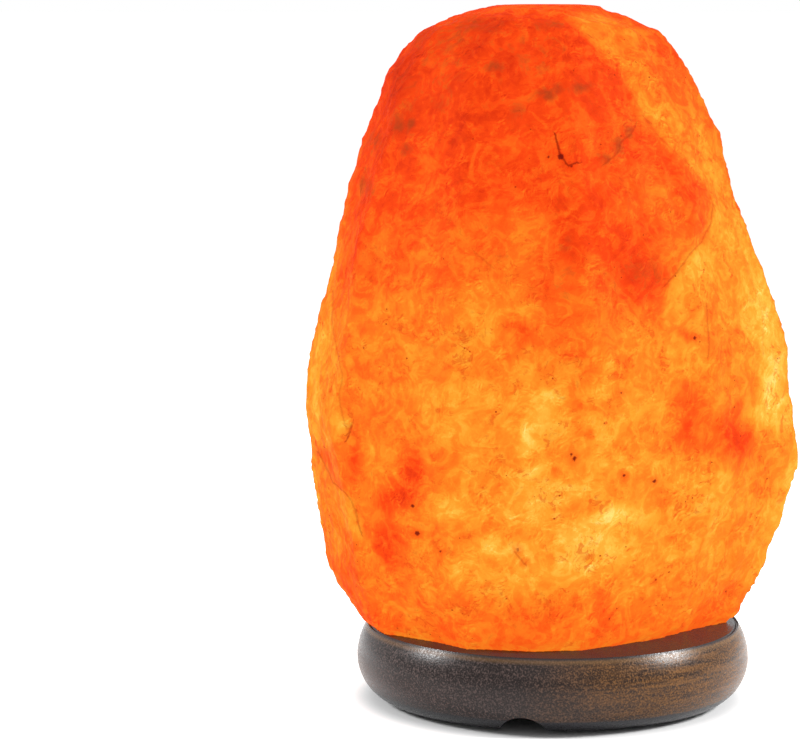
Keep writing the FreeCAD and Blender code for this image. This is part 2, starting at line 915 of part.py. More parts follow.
def make_bulb_cap():
    """Thin metal screw cap round the bulb's neck."""
    wall = size("bulb_cap_wall")
    inside = bulb_cap_radius - wall
    hole = size("bulb_cap_hole") * HALF
    return turned(
        "bulb_cap",
        [
            (hole, bulb_cap_foot),
            (bulb_cap_radius - wall, bulb_cap_foot),
            (bulb_cap_radius, bulb_cap_foot + wall),
            (bulb_cap_radius, bulb_cap_top),
            (inside, bulb_cap_top),
            (inside, bulb_cap_foot + wall),
            (hole, bulb_cap_foot + wall),
        ],
    )


def make_bulb_glass():
    """Blown glass that flares from its neck to a round shoulder, with a domed end."""
    radius = size("bulb_width") * HALF
    wall = size("bulb_wall")
    flare_rise = size("bulb_flare_rise")
    lean = math.atan2((radius - neck_radius).number, flare_rise.number)
    outer_round = size("bulb_shoulder_round")
    inner_round = outer_round - wall
    round_centre = radius - outer_round
    shoulder = bulb_cap_top + flare_rise + outer_round * math.tan(lean * HALF)
    dome_level = bulb_top - radius
    return turned(
        "bulb_glass",
        [
            (neck_radius - wall, neck_foot),
            (neck_radius, neck_foot),
            (neck_radius, bulb_cap_top),
            (
                round_centre + outer_round * math.cos(lean),
                shoulder - outer_round * math.sin(lean),
                shoulder,
            ),
            (radius, shoulder),
            (radius, dome_level, dome_level),
            (ZERO, bulb_top),
            (ZERO, bulb_top - wall, dome_level),
            (radius - wall, dome_level),
            (radius - wall, shoulder, shoulder),
            (
                round_centre + inner_round * math.cos(lean),
                shoulder - inner_round * math.sin(lean),
            ),
            (neck_radius - wall, bulb_cap_top + wall * math.tan(lean * HALF)),
        ],
    )


def make_bulb_stem():
    """Glass stem on a flared foot that seals the neck, with two holes for the wires."""
    stem = size("stem_width") * HALF
    flare = neck_radius - size("bulb_wall") - fit_gap
    body = turned(
        "bulb_stem",
        [
            (ZERO, neck_foot),
            (flare, neck_foot),
            (flare, flare_top),
            (stem, flare_top + size("stem_flare_rise")),
            (stem, stem_top),
            (ZERO, stem_top),
        ],
    )
    ring_holes(
        body, "wire_way", neck_foot, size("wire_way_width") * HALF,
        size("stem_rise"), size("lead_offset"), WIRE_COUNT, WIRE_START,
    )
    return body


def make_lead_wires():
    """Two wires from the cap, up through the stem's foot, and out to the filament."""
    body = new_body("lead_wires")
    low = bulb_cap_foot + size("bulb_cap_wall")
    bend = stem_top
    high = filament_level - filament_radius
    near = size("lead_offset")
    far = size("lead_fork")
    sketch = new_sketch(body, "outline", "front")
    trace(
        sketch,
        [
            (near - lead_radius, low),
            (near + lead_radius, low),
            (near + lead_radius, bend),
            (far + lead_radius, high),
            (far - lead_radius, high),
            (near - lead_radius, bend),
        ],
    )
    one = pad(body, sketch, size("lead_wire"), midplane=True)
    repeat_around(body, one, WIRE_COUNT)
    return body


def make_filament():
    """Half ring of fine coiled wire, drawn as a tube of the coil's width."""
    filament = doc.addObject("Part::Torus", "filament")
    filament.Label = "filament"
    filament.setExpression("Radius1", size("lead_fork").words)
    filament.setExpression("Radius2", filament_radius.words)
    filament.Angle3 = FULL_TURN * HALF
    filament.Placement = FreeCAD.Placement(
        FreeCAD.Vector(0, 0, filament_level.number), FreeCAD.Rotation()
    )
    filament.setExpression("Placement.Base.z", filament_level.words)
    return filament


def make_filament_supports():
    """Three fine wires that lean out from the stem's top to the filament."""
    foot = (stem_top + touch_gap).number
    reach = size("lead_fork").number
    rise = (filament_level - filament_radius - touch_gap).number - foot
    lean = math.degrees(math.atan2(reach, rise))
    support_length = math.hypot(reach, rise)
    parts = []
    for index, angle in enumerate(SUPPORT_ANGLES):
        wire = doc.addObject("Part::Cylinder", "support_" + str(index))
        wire.setExpression("Radius", (lead_radius * HALF).words)
        wire.Height = support_length
        around = FreeCAD.Rotation(FreeCAD.Vector(0, 0, 1), angle)
        tilt = FreeCAD.Rotation(FreeCAD.Vector(0, 1, 0), lean)
        wire.Placement = FreeCAD.Placement(FreeCAD.Vector(0, 0, foot), around * tilt)
        parts.append(wire)
    supports = doc.addObject("Part::MultiFuse", "filament_supports")
    supports.Label = "filament_supports"
    supports.Shapes = parts
    return supports


# ------------------------------------------------------------------ build and write
sub_parts = [
    make_wood_base(),
    make_rubber_feet(),
    make_salt_crystal(),
    make_crystal_screws(),
    make_screw_washers(),
    make_crystal_plugs(),
    make_holder_plate(),
    make_nipple(),
    make_lock_washer(),
    make_nipple_nut(),
    make_clip_yoke(),
    make_spring_arm("spring_arm_right", 1.0),
    make_spring_arm("spring_arm_left", -1.0),
    make_holder_cap(),
    make_holder_shell(),
    make_contact_carrier(),
    make_screw_shell(),
    make_centre_contact(),
    make_side_contact(),
    make_terminal_screws(),
    make_bulb_tip_contact(),
    make_bulb_insulator(),
    make_bulb_cap(),
    make_bulb_glass(),
    make_bulb_stem(),
    make_lead_wires(),
    make_filament(),
    make_filament_supports(),
]
doc.recompute()

for feature in doc.Objects:
    if "Invalid" in feature.State or "Error" in feature.State:
        raise RuntimeError(feature.Label + " did not build: " + str(feature.State))
for sub_part in sub_parts:
    if sub_part.Shape.isNull() or not sub_part.Shape.isValid():
        raise RuntimeError(sub_part.Label + " has no valid shape")

os.makedirs("parts", exist_ok=True)
for sub_part in sub_parts:
    sub_part.Shape.exportStep("parts/" + sub_part.Label + ".step")
    box = sub_part.Shape.BoundBox
    print(
        f"{sub_part.Label:20s} solids {len(sub_part.Shape.Solids)}  volume {sub_part.Shape.Volume:11.1f}"
        f"  x {box.XMin:.1f}..{box.XMax:.1f}  y {box.YMin:.1f}..{box.YMax:.1f}"
        f"  z {box.ZMin:.1f}..{box.ZMax:.1f}"
    )
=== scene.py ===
import math

import bpy
import numpy as np
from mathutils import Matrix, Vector, noise


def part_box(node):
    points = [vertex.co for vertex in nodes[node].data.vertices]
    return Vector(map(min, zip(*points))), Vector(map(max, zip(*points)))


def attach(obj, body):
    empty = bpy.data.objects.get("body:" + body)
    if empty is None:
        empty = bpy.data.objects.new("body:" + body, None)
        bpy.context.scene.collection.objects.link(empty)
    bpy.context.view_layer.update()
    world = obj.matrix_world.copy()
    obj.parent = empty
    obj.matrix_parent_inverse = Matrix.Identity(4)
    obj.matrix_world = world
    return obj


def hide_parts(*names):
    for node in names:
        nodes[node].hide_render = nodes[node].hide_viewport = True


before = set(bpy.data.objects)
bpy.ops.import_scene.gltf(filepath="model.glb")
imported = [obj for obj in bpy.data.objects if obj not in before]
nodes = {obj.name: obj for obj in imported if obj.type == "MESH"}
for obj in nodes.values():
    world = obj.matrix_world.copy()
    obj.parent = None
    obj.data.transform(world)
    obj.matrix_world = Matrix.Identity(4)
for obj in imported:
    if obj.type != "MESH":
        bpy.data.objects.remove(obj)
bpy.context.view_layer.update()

# Salt crystal lamp, lit. +Z is up, the table is Z = 0 and the cable notch faces -Y.
# Lengths are written in millimetres and turned to metres where they reach the scene.
MM = 0.001
FULL_TURN = 2.0 * math.pi

# The photograph's viewpoint: how far round from -Y, how far off and how high it looks from.
VIEW_TURN = math.radians(8.7)
VIEW_DISTANCE = 1000.0
VIEW_HEIGHT = 228.3
VIEW_PAN = 0.05
VIEW_PITCH = -0.1215
SENSOR_WIDTH = 36.0
LENS = 139.33

WOOD_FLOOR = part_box("wood_base")[0].z / MM
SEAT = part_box("wood_base")[1].z / MM
CRYSTAL_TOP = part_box("salt_crystal")[1].z / MM
# Points nearer than this are one point.
WELD = 0.001


# ---- modelling helpers
def activate(piece):
    """Leave this piece alone selected and active."""
    bpy.ops.object.select_all(action="DESELECT")
    piece.select_set(True)
    bpy.context.view_layer.objects.active = piece


def edit_all(piece):
    """Open a piece's mesh with all of it selected."""
    activate(piece)
    bpy.ops.object.mode_set(mode="EDIT")
    bpy.ops.mesh.select_all(action="SELECT")


def apply_modifier(piece, kind, **settings):
    """Put a modifier on a piece and make it part of the mesh."""
    activate(piece)
    modifier = piece.modifiers.new(kind.title(), kind)
    for word, value in settings.items():
        setattr(modifier, word, value)
    bpy.ops.object.modifier_apply(modifier=modifier.name)


def settle(piece, name, smooth_angle=35.0):
    """Name a finished piece, fix its place in its mesh and smooth its rounds."""
    activate(piece)
    bpy.ops.object.transform_apply(location=True, rotation=True, scale=True)
    bpy.ops.object.shade_smooth_by_angle(angle=math.radians(smooth_angle))
    piece.name = name
    piece.data.name = name
    return piece


def turned_piece(name, profile, segments, solid=False, smooth_angle=35.0):
    """Draw a ring out along a profile of (radius, height) steps, as on a lathe. A solid
    one keeps a flat face at each end, and any other ends where it began."""
    bpy.ops.object.select_all(action="DESELECT")
    radius, height = profile[0]
    fill = "NGON" if solid else "NOTHING"
    bpy.ops.mesh.primitive_circle_add(vertices=segments, radius=radius * MM, fill_type=fill)
    piece = bpy.context.object
    edit_all(piece)
    bpy.ops.transform.translate(value=(0, 0, height * MM))
    for next_radius, next_height in profile[1:]:
        rise = (0, 0, (next_height - height) * MM)
        bpy.ops.mesh.extrude_region_move(TRANSFORM_OT_translate={"value": rise})
        share = next_radius / radius
        bpy.ops.transform.resize(value=(share, share, 1.0))
        radius, height = next_radius, next_height
    bpy.ops.mesh.select_all(action="SELECT")
    bpy.ops.mesh.remove_doubles(threshold=WELD * MM)
    bpy.ops.mesh.normals_make_consistent(inside=False)
    bpy.ops.object.mode_set(mode="OBJECT")
    return settle(piece, name, smooth_angle)


def arc(start, finish, level, steps):
    """Points along the arc from start to finish whose centre stands at a level."""
    run = 2.0 * (start[0] - finish[0])
    spread = start[0] ** 2 - finish[0] ** 2
    middle = (spread + (start[1] - level) ** 2 - (finish[1] - level) ** 2) / run
    first = math.atan2(start[1] - level, start[0] - middle)
    last = math.atan2(finish[1] - level, finish[0] - middle)
    reach = math.hypot(start[1] - level, start[0] - middle)
    points = []
    for step in range(steps + 1):
        angle = first + (last - first) * step / steps
        points.append((middle + reach * math.cos(angle), level + reach * math.sin(angle)))
    return points


def cut_with(piece, cutters):
    """Cut other solids out of a piece and clear them away."""
    for cutter in cutters:
        apply_modifier(piece, "BOOLEAN", operation="DIFFERENCE", object=cutter, solver="EXACT")
        bpy.data.objects.remove(cutter)


def drill(radius, low, high, place=(0.0, 0.0), segments=48):
    """An upright round cutter from one level to another."""
    middle = (place[0] * MM, place[1] * MM, (low + high) / 2.0 * MM)
    bpy.ops.mesh.primitive_cylinder_add(
        vertices=segments, radius=radius * MM, depth=(high - low) * MM, location=middle
    )
    return bpy.context.object


def ring_of(count, radius, start):
    """Places evenly spaced in a ring, the first at an angle in degrees."""
    turns = [math.radians(start) + FULL_TURN * step / count for step in range(count)]
    return [(radius * math.cos(turn), radius * math.sin(turn)) for turn in turns]


# ---- material helpers
def colour(code):
    """An sRGB hex value as the linear colour that the shaders work in."""
    shares = [int(code[place:place + 2], 16) / 255.0 for place in (1, 3, 5)]
    linear = [s / 12.92 if s <= 0.04045 else ((s + 0.055) / 1.055) ** 2.4 for s in shares]
    return (*linear, 1.0)


def across(width):
    """The texture scale at which a pattern repeats once in this many millimetres."""
    return 1.0 / (width * MM)


def feed(tree, node, inputs):
    """Give each of a node's inputs a value or another node's output. A node that is given
    stands for its first output."""
    for socket, value in inputs.items():
        if isinstance(value, bpy.types.Node):
            value = value.outputs[0]
        if isinstance(value, bpy.types.NodeSocket):
            tree.links.new(value, node.inputs[socket])
        else:
            node.inputs[socket].default_value = value


def add(tree, kind, inputs=None, **settings):
    """Add a shader node and feed its inputs. settings are its own, with stops for a colour
    ramp's."""
    made = tree.nodes.new("ShaderNode" + kind)
    stops = settings.pop("stops", [])
    for word, value in settings.items():
        setattr(made, word, value)
    for place, (position, code) in enumerate(stops):
        ramp = made.color_ramp.elements
        stop = ramp[place] if place < 2 else ramp.new(position)
        stop.position = position
        stop.color = colour(code)
    feed(tree, made, inputs or {})
    return made


def material(name):
    """A new material with its shader and the Object coordinates that patterns read."""
    made = bpy.data.materials.new(name)
    made.use_nodes = True
    tree = made.node_tree
    return made, tree, tree.nodes["Principled BSDF"], add(tree, "TexCoord").outputs["Object"]


def paint(piece, finish):
    """Give all of a piece one material."""
    piece.data.materials.clear()
    piece.data.materials.append(finish)


# ---- the salt crystal's marks
# Places on the crystal's face, in millimetres across and up, as seen from the viewpoint
# on an upright plane through the lamp's axis.
EYE = (
    VIEW_DISTANCE * math.sin(VIEW_TURN),
    -VIEW_DISTANCE * math.cos(VIEW_TURN),
    VIEW_HEIGHT,
)

# How warm the glow is at each height: 0 deep red where the salt is thick over the bulb,
# 1 pale yellow where it is thin.
GLOW_HEIGHTS = (25, 35, 42, 48, 62, 80, 100, 120, 135, 150, 170, 226)
GLOW_WARMTH = (0.50, 0.58, 0.64, 0.68, 0.70, 0.68, 0.63, 0.57, 0.50, 0.42, 0.33, 0.23)

# The edges where one hewn face meets the next. Each face's outline closes well outside
# the crystal. FACES adds how much warmer it glows, over how many millimetres that starts
# at its edge, and between which heights it fades in.
TOP_FACE = [(-37, 240), (-37, 218), (-28, 222), (-15, 223), (1, 220), (14, 217), (30, 240)]
RIGHT_RIDGE = [(4, 222), (19, 207), (24, 198), (28, 190), (33, 184), (41, 176), (48, 168), (51, 162)]
RIGHT_CREASE = [(51, 162), (50, 154), (47, 149), (44, 146), (40, 140), (36, 135)]
RIGHT_FACE = RIGHT_RIDGE + RIGHT_CREASE[1:] + [(35, 126), (33, 112), (36, 96), (120, 96), (120, 240)]
FAR_RIGHT_EDGE = [(52, 161), (57, 156), (59, 149), (62, 141), (66, 131), (68, 122), (68, 114), (66, 102)]
FAR_RIGHT_FACE = FAR_RIGHT_EDGE + [(65, 84), (70, 66), (120, 60), (120, 161)]
LEFT_EDGE = [(-69, 150), (-72, 133), (-72, 124), (-70, 110), (-69, 105), (-70, 99), (-69, 91), (-68, 88)]
LEFT_FACE = LEFT_EDGE + [(-66, 90), (-70, 85), (-76, 80), (-120, 80), (-120, 150)]
LOW_LEFT_EDGE = [
    (-77, 80), (-73, 73), (-72, 70), (-68, 67), (-66, 64), (-64, 58), (-61, 53), (-58, 48), (-50, 34),
]
LOW_LEFT_FACE = LOW_LEFT_EDGE + [(-50, 20), (-120, 20), (-120, 80)]
FACES = [
    (TOP_FACE, 0.12, 2.5, 190, 200), (RIGHT_FACE, 0.24, 2.2, 104, 148),
    (FAR_RIGHT_FACE, 0.10, 1.6, 60, 96), (LEFT_FACE, 0.14, 1.4, 60, 70),
    (LOW_LEFT_FACE, 0.15, 1.2, 20, 44),
]

# Oval patches of another warmth: across, up, half width, half height, and how much warmer.
STAINS = [
    (-65, 81, 3, 9, -0.16), (-46, 76, 3, 5, -0.24), (-47, 69, 7, 6, -0.14),
    (-52, 64, 5, 3, -0.16), (44, 94, 5, 9, -0.20), (59, 88, 5, 10, -0.22),
    (52, 86, 14, 5, -0.10), (65, 102, 2, 4, -0.15), (-12, 122, 5, 2, -0.18),
    (-10, 117, 4, 3, -0.16), (5, 113, 3, 2, -0.15), (24, 142, 7, 5, -0.14),
    (7, 150, 8, 7, -0.12), (34, 153, 7, 6, -0.10), (11, 163, 9, 4, -0.12),
    (21, 134, 11, 9, -0.08), (-3, 136, 4, 9, -0.10), (2, 124, 5, 9, -0.08),
    (-16, 80, 10, 4, -0.11), (-35, 81, 5, 4, -0.10), (-15, 54, 9, 4, -0.14),
    (-7, 50, 6, 4, -0.12), (7, 63, 6, 3, -0.12), (36, 67, 3, 5, -0.12),
    (-55, 50, 5, 7, -0.08), (42, 119, 2, 2, -0.30), (33, 135, 4, 8, -0.10),
    (-72, 60, 22, 34, -0.22), (-44, 60, 12, 22, -0.10), (-64, 40, 14, 12, -0.10),
    (-66, 74, 3, 9, -0.12), (42, 82, 16, 9, -0.06), (22, 150, 8, 7, -0.09), (-62, 140, 8, 12, -0.08),
    (35, 137, 8, 6, -0.07), (71, 79, 9, 10, -0.16),
    (40, 207, 8, 11, -0.08), (-52, 185, 8, 28, -0.05),
]
WINDOWS = [
    (-37, 100, 9, 5, 0.08), (-29, 115, 8, 5, 0.07), (-10, 107, 5, 6, 0.12),
    (-2, 96, 7, 7, 0.18), (-9, 83, 3, 4, 0.20), (-7, 75, 4, 3, 0.20),
    (1, 67, 8, 5, 0.16), (20, 60, 8, 4, 0.24), (10, 54, 8, 3, 0.13),
    (16, 45, 10, 5, 0.12), (14, 100, 4, 3, 0.20), (28, 84, 5, 4, 0.10),
    (26, 77, 12, 3, 0.12), (44, 112, 6, 5, 0.07), (-35, 61, 8, 4, 0.12),
    (-17, 49, 10, 2, 0.14), (72, 108, 3, 8, 0.07), (42, 72, 12, 7, 0.05),
    (-17, 41, 24, 8, 0.10), (-4, 55, 16, 8, 0.09), (72, 118, 10, 26, 0.13), (76, 94, 5, 12, 0.08),
    (33, 171, 13, 20, 0.10), (-32, 148, 26, 16, 0.06), (-25, 127, 22, 8, 0.09),
    (10, 42, 40, 12, 0.02), (26, 196, 10, 8, 0.06), (22, 214, 12, 6, 0.06), (55, 182, 6, 11, 0.10),
    (-62, 75, 7, 22, 0.07), (-17, 34, 16, 5, 0.06),
]
# Clouds of brown clay inside the salt, with how dense each one is.
HAZES = [
    (-26, 219, 12, 3, 0.55), (-33, 207, 3, 2, 0.50), (-20, 206, 3, 2, 0.80),
    (-33, 200, 8, 4, 0.35), (-39, 195, 5, 4, 0.35), (-50, 187, 4, 3, 0.70),
    (-47, 188, 2, 2, 0.95), (-48, 179, 2, 2, 0.70), (-58, 182, 3, 5, 0.45),
    (-61, 167, 2, 5, 0.45), (-12, 191, 3, 3, 0.60), (-3, 197, 3, 2, 0.95),
    (1, 199, 2, 2, 0.85), (8, 199, 4, 2, 0.70), (-2, 219, 6, 2, 0.60),
    (4, 148, 2, 6, 0.40), (5, 140, 2, 2, 0.55), (2, 134, 4, 3, 0.30),
    (-17, 145, 3, 2, 0.40), (28, 139, 10, 8, 0.30), (24, 161, 1, 3, 0.45),
    (24, 185, 2.2, 3.0, 0.75), (20.5, 180, 2.2, 3.0, 0.65), (16, 176, 2.4, 2.0, 0.60),
    (-38, 214, 14, 8, 0.42), (-48, 196, 8, 12, 0.30), (-10, 208, 16, 8, 0.22),
]
# Cracks and dark edges: how dark, then the places that each one runs through.
CRACKS = [
    (0.85, [(0, 184), (1, 180), (1.5, 177.5), (3, 176), (4, 174), (7, 175)]),
    (0.36, RIGHT_CREASE),
    (0.20, RIGHT_RIDGE[2:]),
    (0.16, FAR_RIGHT_EDGE[:-1]),
    (0.34, [(49, 129), (50, 112)]),
    (0.26, LEFT_EDGE[1:] + [(-67.5, 86), (-66, 90)]),
    (0.62, [(-68, 84), (-66.5, 87), (-65.5, 90)]),
    (0.34, LOW_LEFT_EDGE[:6]),
    (0.45, [(-64.5, 61), (-64, 57), (-62.5, 53)]),
    (0.22, [(-26, 146), (-20, 141)]),
    (0.32, [(26, 187), (24.5, 184), (21, 181), (20.5, 178.5), (16, 175)]),
    (0.35, [(-12, 47), (-9, 43.5)]),
]
# Rust-dark grains: across, up and radius.
GRAINS = [
    (20, 106, 0.4), (22, 101, 0.35), (12, 86, 0.5), (7, 78, 0.9), (6, 80, 0.5), (1, 75, 0.4),
    (23, 73, 0.5), (33, 71, 0.7), (-46, 63, 0.7), (-44, 54, 0.9), (-37, 48, 0.4), (-12, 48, 0.8),
    (-9, 44, 0.6), (-51, 22, 0.4), (-2, 177, 0.5), (2, 177, 1.1), (5, 174, 0.5), (45, 118, 0.6),
]
# How far from a crack or a grain its mark is measured, and where a crack's line starts to
# fade and is gone.
MARK_REACH = 3.0
LINE_FULL = 1.0
LINE_GONE = 1.6
# How steeply a patch fades, and how squarely.
PATCH_FADE = 0.7
PATCH_EDGE = 1.4
# The marks are drawn for the front. They fade in from just behind the axis's plane.
FRONT_FROM = -6.0
FRONT_TO = 14.0
# A patch's outline wanders and trembles: over what width, and how far. The hewn edges and
# the clay clouds keep closer to what is drawn, by these shares of it.
WANDER_WIDTH = 9.0
WANDER = 2.6
TREMBLE_WIDTH = 3.5
TREMBLE = 1.0
EDGE_SHARE = 0.25
CLOUD_SHARE = 0.4
# On the back the glow's bands rise and fall, and it has patches and clay clouds of its own:
# over what width, and how much.
BAND_WIDTH = 30.0
BAND_SWAY = 12.0
BACK_PATCH_WIDTH = 40.0
BACK_PATCH = 0.10
BACK_CLOUD_WIDTH = 11.0
BACK_CLOUD = 0.42
BACK_CLOUD_EDGE = (0.3, 0.75)
# Finer lumps in those clouds, and their share.
LUMP_WIDTH = 3.0
LUMP_SHARE = 0.3
# How many times the wander the glow's bands waver by on the front.
BAND_WAVER = 2.0
# Painted light and shade: a slope that turns this way is painted warmer, one turned away darker.
# SLOPE_GAIN and SLOPE_MOST say how much for a bump's side, and FLAT_GAIN and FLAT_MOST a hewn flat.
PAINTED_LIGHT_TURN = (0.62, -0.35, -0.70)
SLOPE_GAIN = 0.22
SLOPE_MOST = 0.09
FLAT_GAIN = 0.6
FLAT_MOST = 0.13
# How much of a flat's painted light and shade the faces drawn on the front take over.
FACES_SHARE = 0.75


def seen_places(points):
    """Where points of the crystal appear on the upright plane through the axis, across
    and up, and how far in front of that plane each one lies."""
    aside = points[:, 0] * math.cos(VIEW_TURN) + points[:, 1] * math.sin(VIEW_TURN)
    behind = -points[:, 0] * math.sin(VIEW_TURN) + points[:, 1] * math.cos(VIEW_TURN)
    nearer = VIEW_DISTANCE / (VIEW_DISTANCE + behind)
    return aside * nearer, VIEW_HEIGHT + (points[:, 2] - VIEW_HEIGHT) * nearer, -behind


def ease(values, low, high):
    """Rise smoothly from 0 at low to 1 at high."""
    share = np.clip((values - low) / (high - low), 0.0, 1.0)
    return share * share * (3.0 - 2.0 * share)


def distance_to_path(aside, up, path):
    """How far each place is from a path through points, with a minus sign on its left."""
    nearest = np.full(len(aside), np.inf)
    for (ax, az), (bx, bz) in zip(path, path[1:]):
        run, rise = bx - ax, bz - az
        share = ((aside - ax) * run + (up - az) * rise) / (run * run + rise * rise)
        share = np.clip(share, 0.0, 1.0)
        away = np.hypot(aside - ax - run * share, up - az - rise * share)
        signed = np.where(run * (up - az) - rise * (aside - ax) > 0.0, -away, away)
        nearest = np.where(away < np.abs(nearest), signed, nearest)
    return nearest


def inside_face(aside, up, outline, blur):
    """1 inside a face's outline and 0 outside it, easing over the blur at its edges."""
    inside = np.zeros(len(aside), bool)
    closed = outline + outline[:1]
    for (ax, az), (bx, bz) in zip(closed, closed[1:]):
        if az != bz:
            crosses = (az > up) != (bz > up)
            inside ^= crosses & (aside < ax + (bx - ax) * (up - az) / (bz - az))
    depth = np.abs(distance_to_path(aside, up, closed))
    return ease(np.where(inside, depth, -depth), -blur, blur)


def patch(aside, up, mark):
    """A soft-edged oval patch."""
    centre, level, half_width, half_height, strength = mark
    spread = ((aside - centre) / half_width) ** 2 + ((up - level) / half_height) ** 2
    return strength * np.exp(-PATCH_FADE * spread ** PATCH_EDGE)


def rough(points, width, seed):
    """Smooth random values, -1 to 1, that change over about this width."""
    shift = Vector((seed, seed * 1.7, -seed))
    return np.array([noise.noise(Vector(point) / width + shift) for point in points])


def mark_crystal(piece, relief_shading, flat_shading):
    """Lay the glow's warmth, the clay clouds and the dark marks on the crystal's points.
    Each bump's side and each hewn flat gets painted light where it turns one way and painted
    shade where it turns the other; a flat's shows most where no face was drawn."""
    mesh = piece.data
    points = read_points(mesh)
    wander = []
    for seed in (1.0, 2.0):
        tremble = rough(points, TREMBLE_WIDTH, seed + 5.0) * TREMBLE
        wander.append(rough(points, WANDER_WIDTH, seed) * WANDER + tremble)
    aside, up, nearness = seen_places(points)
    front = ease(nearness, FRONT_FROM, FRONT_TO)
    back = 1.0 - front
    loose_aside, loose_up = aside + wander[0], up + wander[1]
    edge_aside, edge_up = aside + wander[0] * EDGE_SHARE, up + wander[1] * EDGE_SHARE
    cloud_aside, cloud_up = aside + wander[0] * CLOUD_SHARE, up + wander[1] * CLOUD_SHARE

    sway = np.where(front > 0.5, wander[1] * BAND_WAVER, rough(points, BAND_WIDTH, 8.0) * BAND_SWAY)
    warmth = np.interp(up + sway, GLOW_HEIGHTS, GLOW_WARMTH)
    warmth += BACK_PATCH * back * rough(points, BACK_PATCH_WIDTH, 3.0)
    # painted light and shade by which way each bump's side and each hewn flat turns
    warmth += np.clip(relief_shading * SLOPE_GAIN, -SLOPE_MOST, SLOPE_MOST)
    warmth += np.clip(flat_shading * FLAT_GAIN, -FLAT_MOST, FLAT_MOST) * (1.0 - FACES_SHARE * front)
    for outline, gain, blur, low, high in FACES:
        inside = inside_face(edge_aside, edge_up, outline, blur)
        warmth += front * gain * inside * ease(up, low, high)
    for mark in STAINS + WINDOWS:
        warmth += front * patch(loose_aside, loose_up, mark)

    haze = np.zeros(len(points))
    for mark in HAZES:
        haze = np.maximum(haze, front * patch(cloud_aside, cloud_up, mark))
    cloud = rough(points, BACK_CLOUD_WIDTH, 4.0) + LUMP_SHARE * rough(points, LUMP_WIDTH, 6.0)
    haze += back * BACK_CLOUD * ease(cloud, *BACK_CLOUD_EDGE)

    line_side = np.full(len(points), MARK_REACH)
    line_depth = np.zeros(len(points))
    for strength, path in CRACKS:
        side = distance_to_path(edge_aside, edge_up, path)
        nearer = np.abs(side) < np.abs(line_side)
        line_side = np.where(nearer, side, line_side)
        depth = strength * front * ease(-np.abs(side), -LINE_GONE, -LINE_FULL)
        line_depth = np.where(nearer, depth, line_depth)

    # a grain is centred on the point nearest to its place, so that it stays round
    grains = np.zeros(len(points))
    for centre, level, radius in GRAINS:
        away = np.hypot(aside - centre, up - level) + back * MARK_REACH
        core = np.argmin(away)
        away = np.hypot(aside - aside[core], up - up[core])
        grains = np.maximum(grains, front * (1.0 + (radius - away) / MARK_REACH))
    marks = {
        "warmth": warmth, "haze": haze, "line_side": line_side, "line_depth": line_depth,
        "grains": grains,
    }
    for name, values in marks.items():
        layer = mesh.attributes.new(name, "FLOAT", "POINT")
        layer.data.foreach_set("value", values.astype(np.float32))


# ---- the salt crystal
SALT_GRID = 1.25
# Where the hewing grows from none to full: away from the axis, clear of the bore; over the
# bore's end, by the depth below the top; and over the seat.
BORE_CLEAR = (25.5, 29.5)
BORE_END = (100.0, 90.0)
SEAT_CLEAR = (0.8, 4.0)
WEIGHT_STEPS = 10
# The patterns in the salt: how wide each one's shapes are, how finely and how strongly they
# break up, and how far they swirl.
SALT_PATTERNS = {
    "clouds": (24.0, 5.0, 0.6, 0.9),
    "marbling": (9.0, 8.0, 0.60, 2.0),
    "flakes": (5.0, 6.0, 0.60, 1.4),
    "veins": (11.0, 7.0, 0.58, 1.6),
    "ripples": (4.0, 5.0, 0.60, 1.8),
    "leaning_ripples": (4.0, 5.0, 0.60, 1.8),
    "clusters": (13.0, 6.0, 0.62, 1.2),
    "grain": (1.1, 3.0, 0.7, 0.0),
}
# how far the leaning ripples are shifted; the ripples less this copy give painted light and shade
RIPPLE_LEAN = (0.30 * MM, 0.0, -0.35 * MM)
# What shows where a pattern is high: the pattern, between which of its values it fades in,
# and how strong it gets.
SALT_MASKS = {
    "island": ("marbling", 0.49, 0.54, 1.0),
    "flake": ("flakes", 0.50, 0.56, 1.0),
    "veined": ("clusters", 0.48, 0.60, 0.5),
    "flecked": ("clusters", 0.53, 0.62, 0.5),
    "fleck": ("leaning_ripples", 0.53, 0.57, 1.0),
}
# What the patterns add to the tone on average, taken off again.
SALT_LEVEL = 0.46
# The smooth egg that the hewn flats are set against.
EGG_MIDDLE = (-1.0, 0.0, 92.0)
EGG_RADII = (80.0, 68.0, 130.0)
# The worn tip: its middle, over how far out and how far down it wears, and how much.
TIP_MIDDLE = (-6.0, -1.0)
TIP_REACH = 15.0
TIP_DEPTH = 5.0
TIP_WEAR = 0.9
# How far the skirt's front stands nearer than the solid's, at places across it, how near
# the front that starts and is full, and how far up it reaches.
SKIRT_ASIDE = (-64.0, -52.0, -38.0, -22.0, -6.0, 10.0, 28.0, 46.0, 56.0, 64.0)
SKIRT_TOWARD = (-2.0, -6.5, -6.0, -1.0, 6.5, 8.0, 7.0, 6.0, 3.0, -2.0)
SKIRT_NEARNESS = (4.0, 36.0)
SKIRT_RISE = 24.0


def relief(name, kind, size, **settings):
    """A procedural relief that the crystal's surface is pushed in by."""
    texture = bpy.data.textures.new(name, kind)
    texture.noise_scale = size * MM
    for word, value in settings.items():
        setattr(texture, word, value)
    return texture


def read_points(mesh):
    """A mesh's points as rows of millimetres."""
    flat = np.zeros(len(mesh.vertices) * 3)
    mesh.vertices.foreach_get("co", flat)
    return flat.reshape(-1, 3) / MM


def place_points(mesh, points):
    """Put a mesh's points at rows of millimetres."""
    mesh.vertices.foreach_set("co", (points * MM).ravel())
    mesh.update()


def read_normals(mesh):
    """Which way the surface faces at each of a mesh's points."""
    flat = np.zeros(len(mesh.vertices) * 3)
    mesh.vertex_normals.foreach_get("vector", flat)
    return flat.reshape(-1, 3)


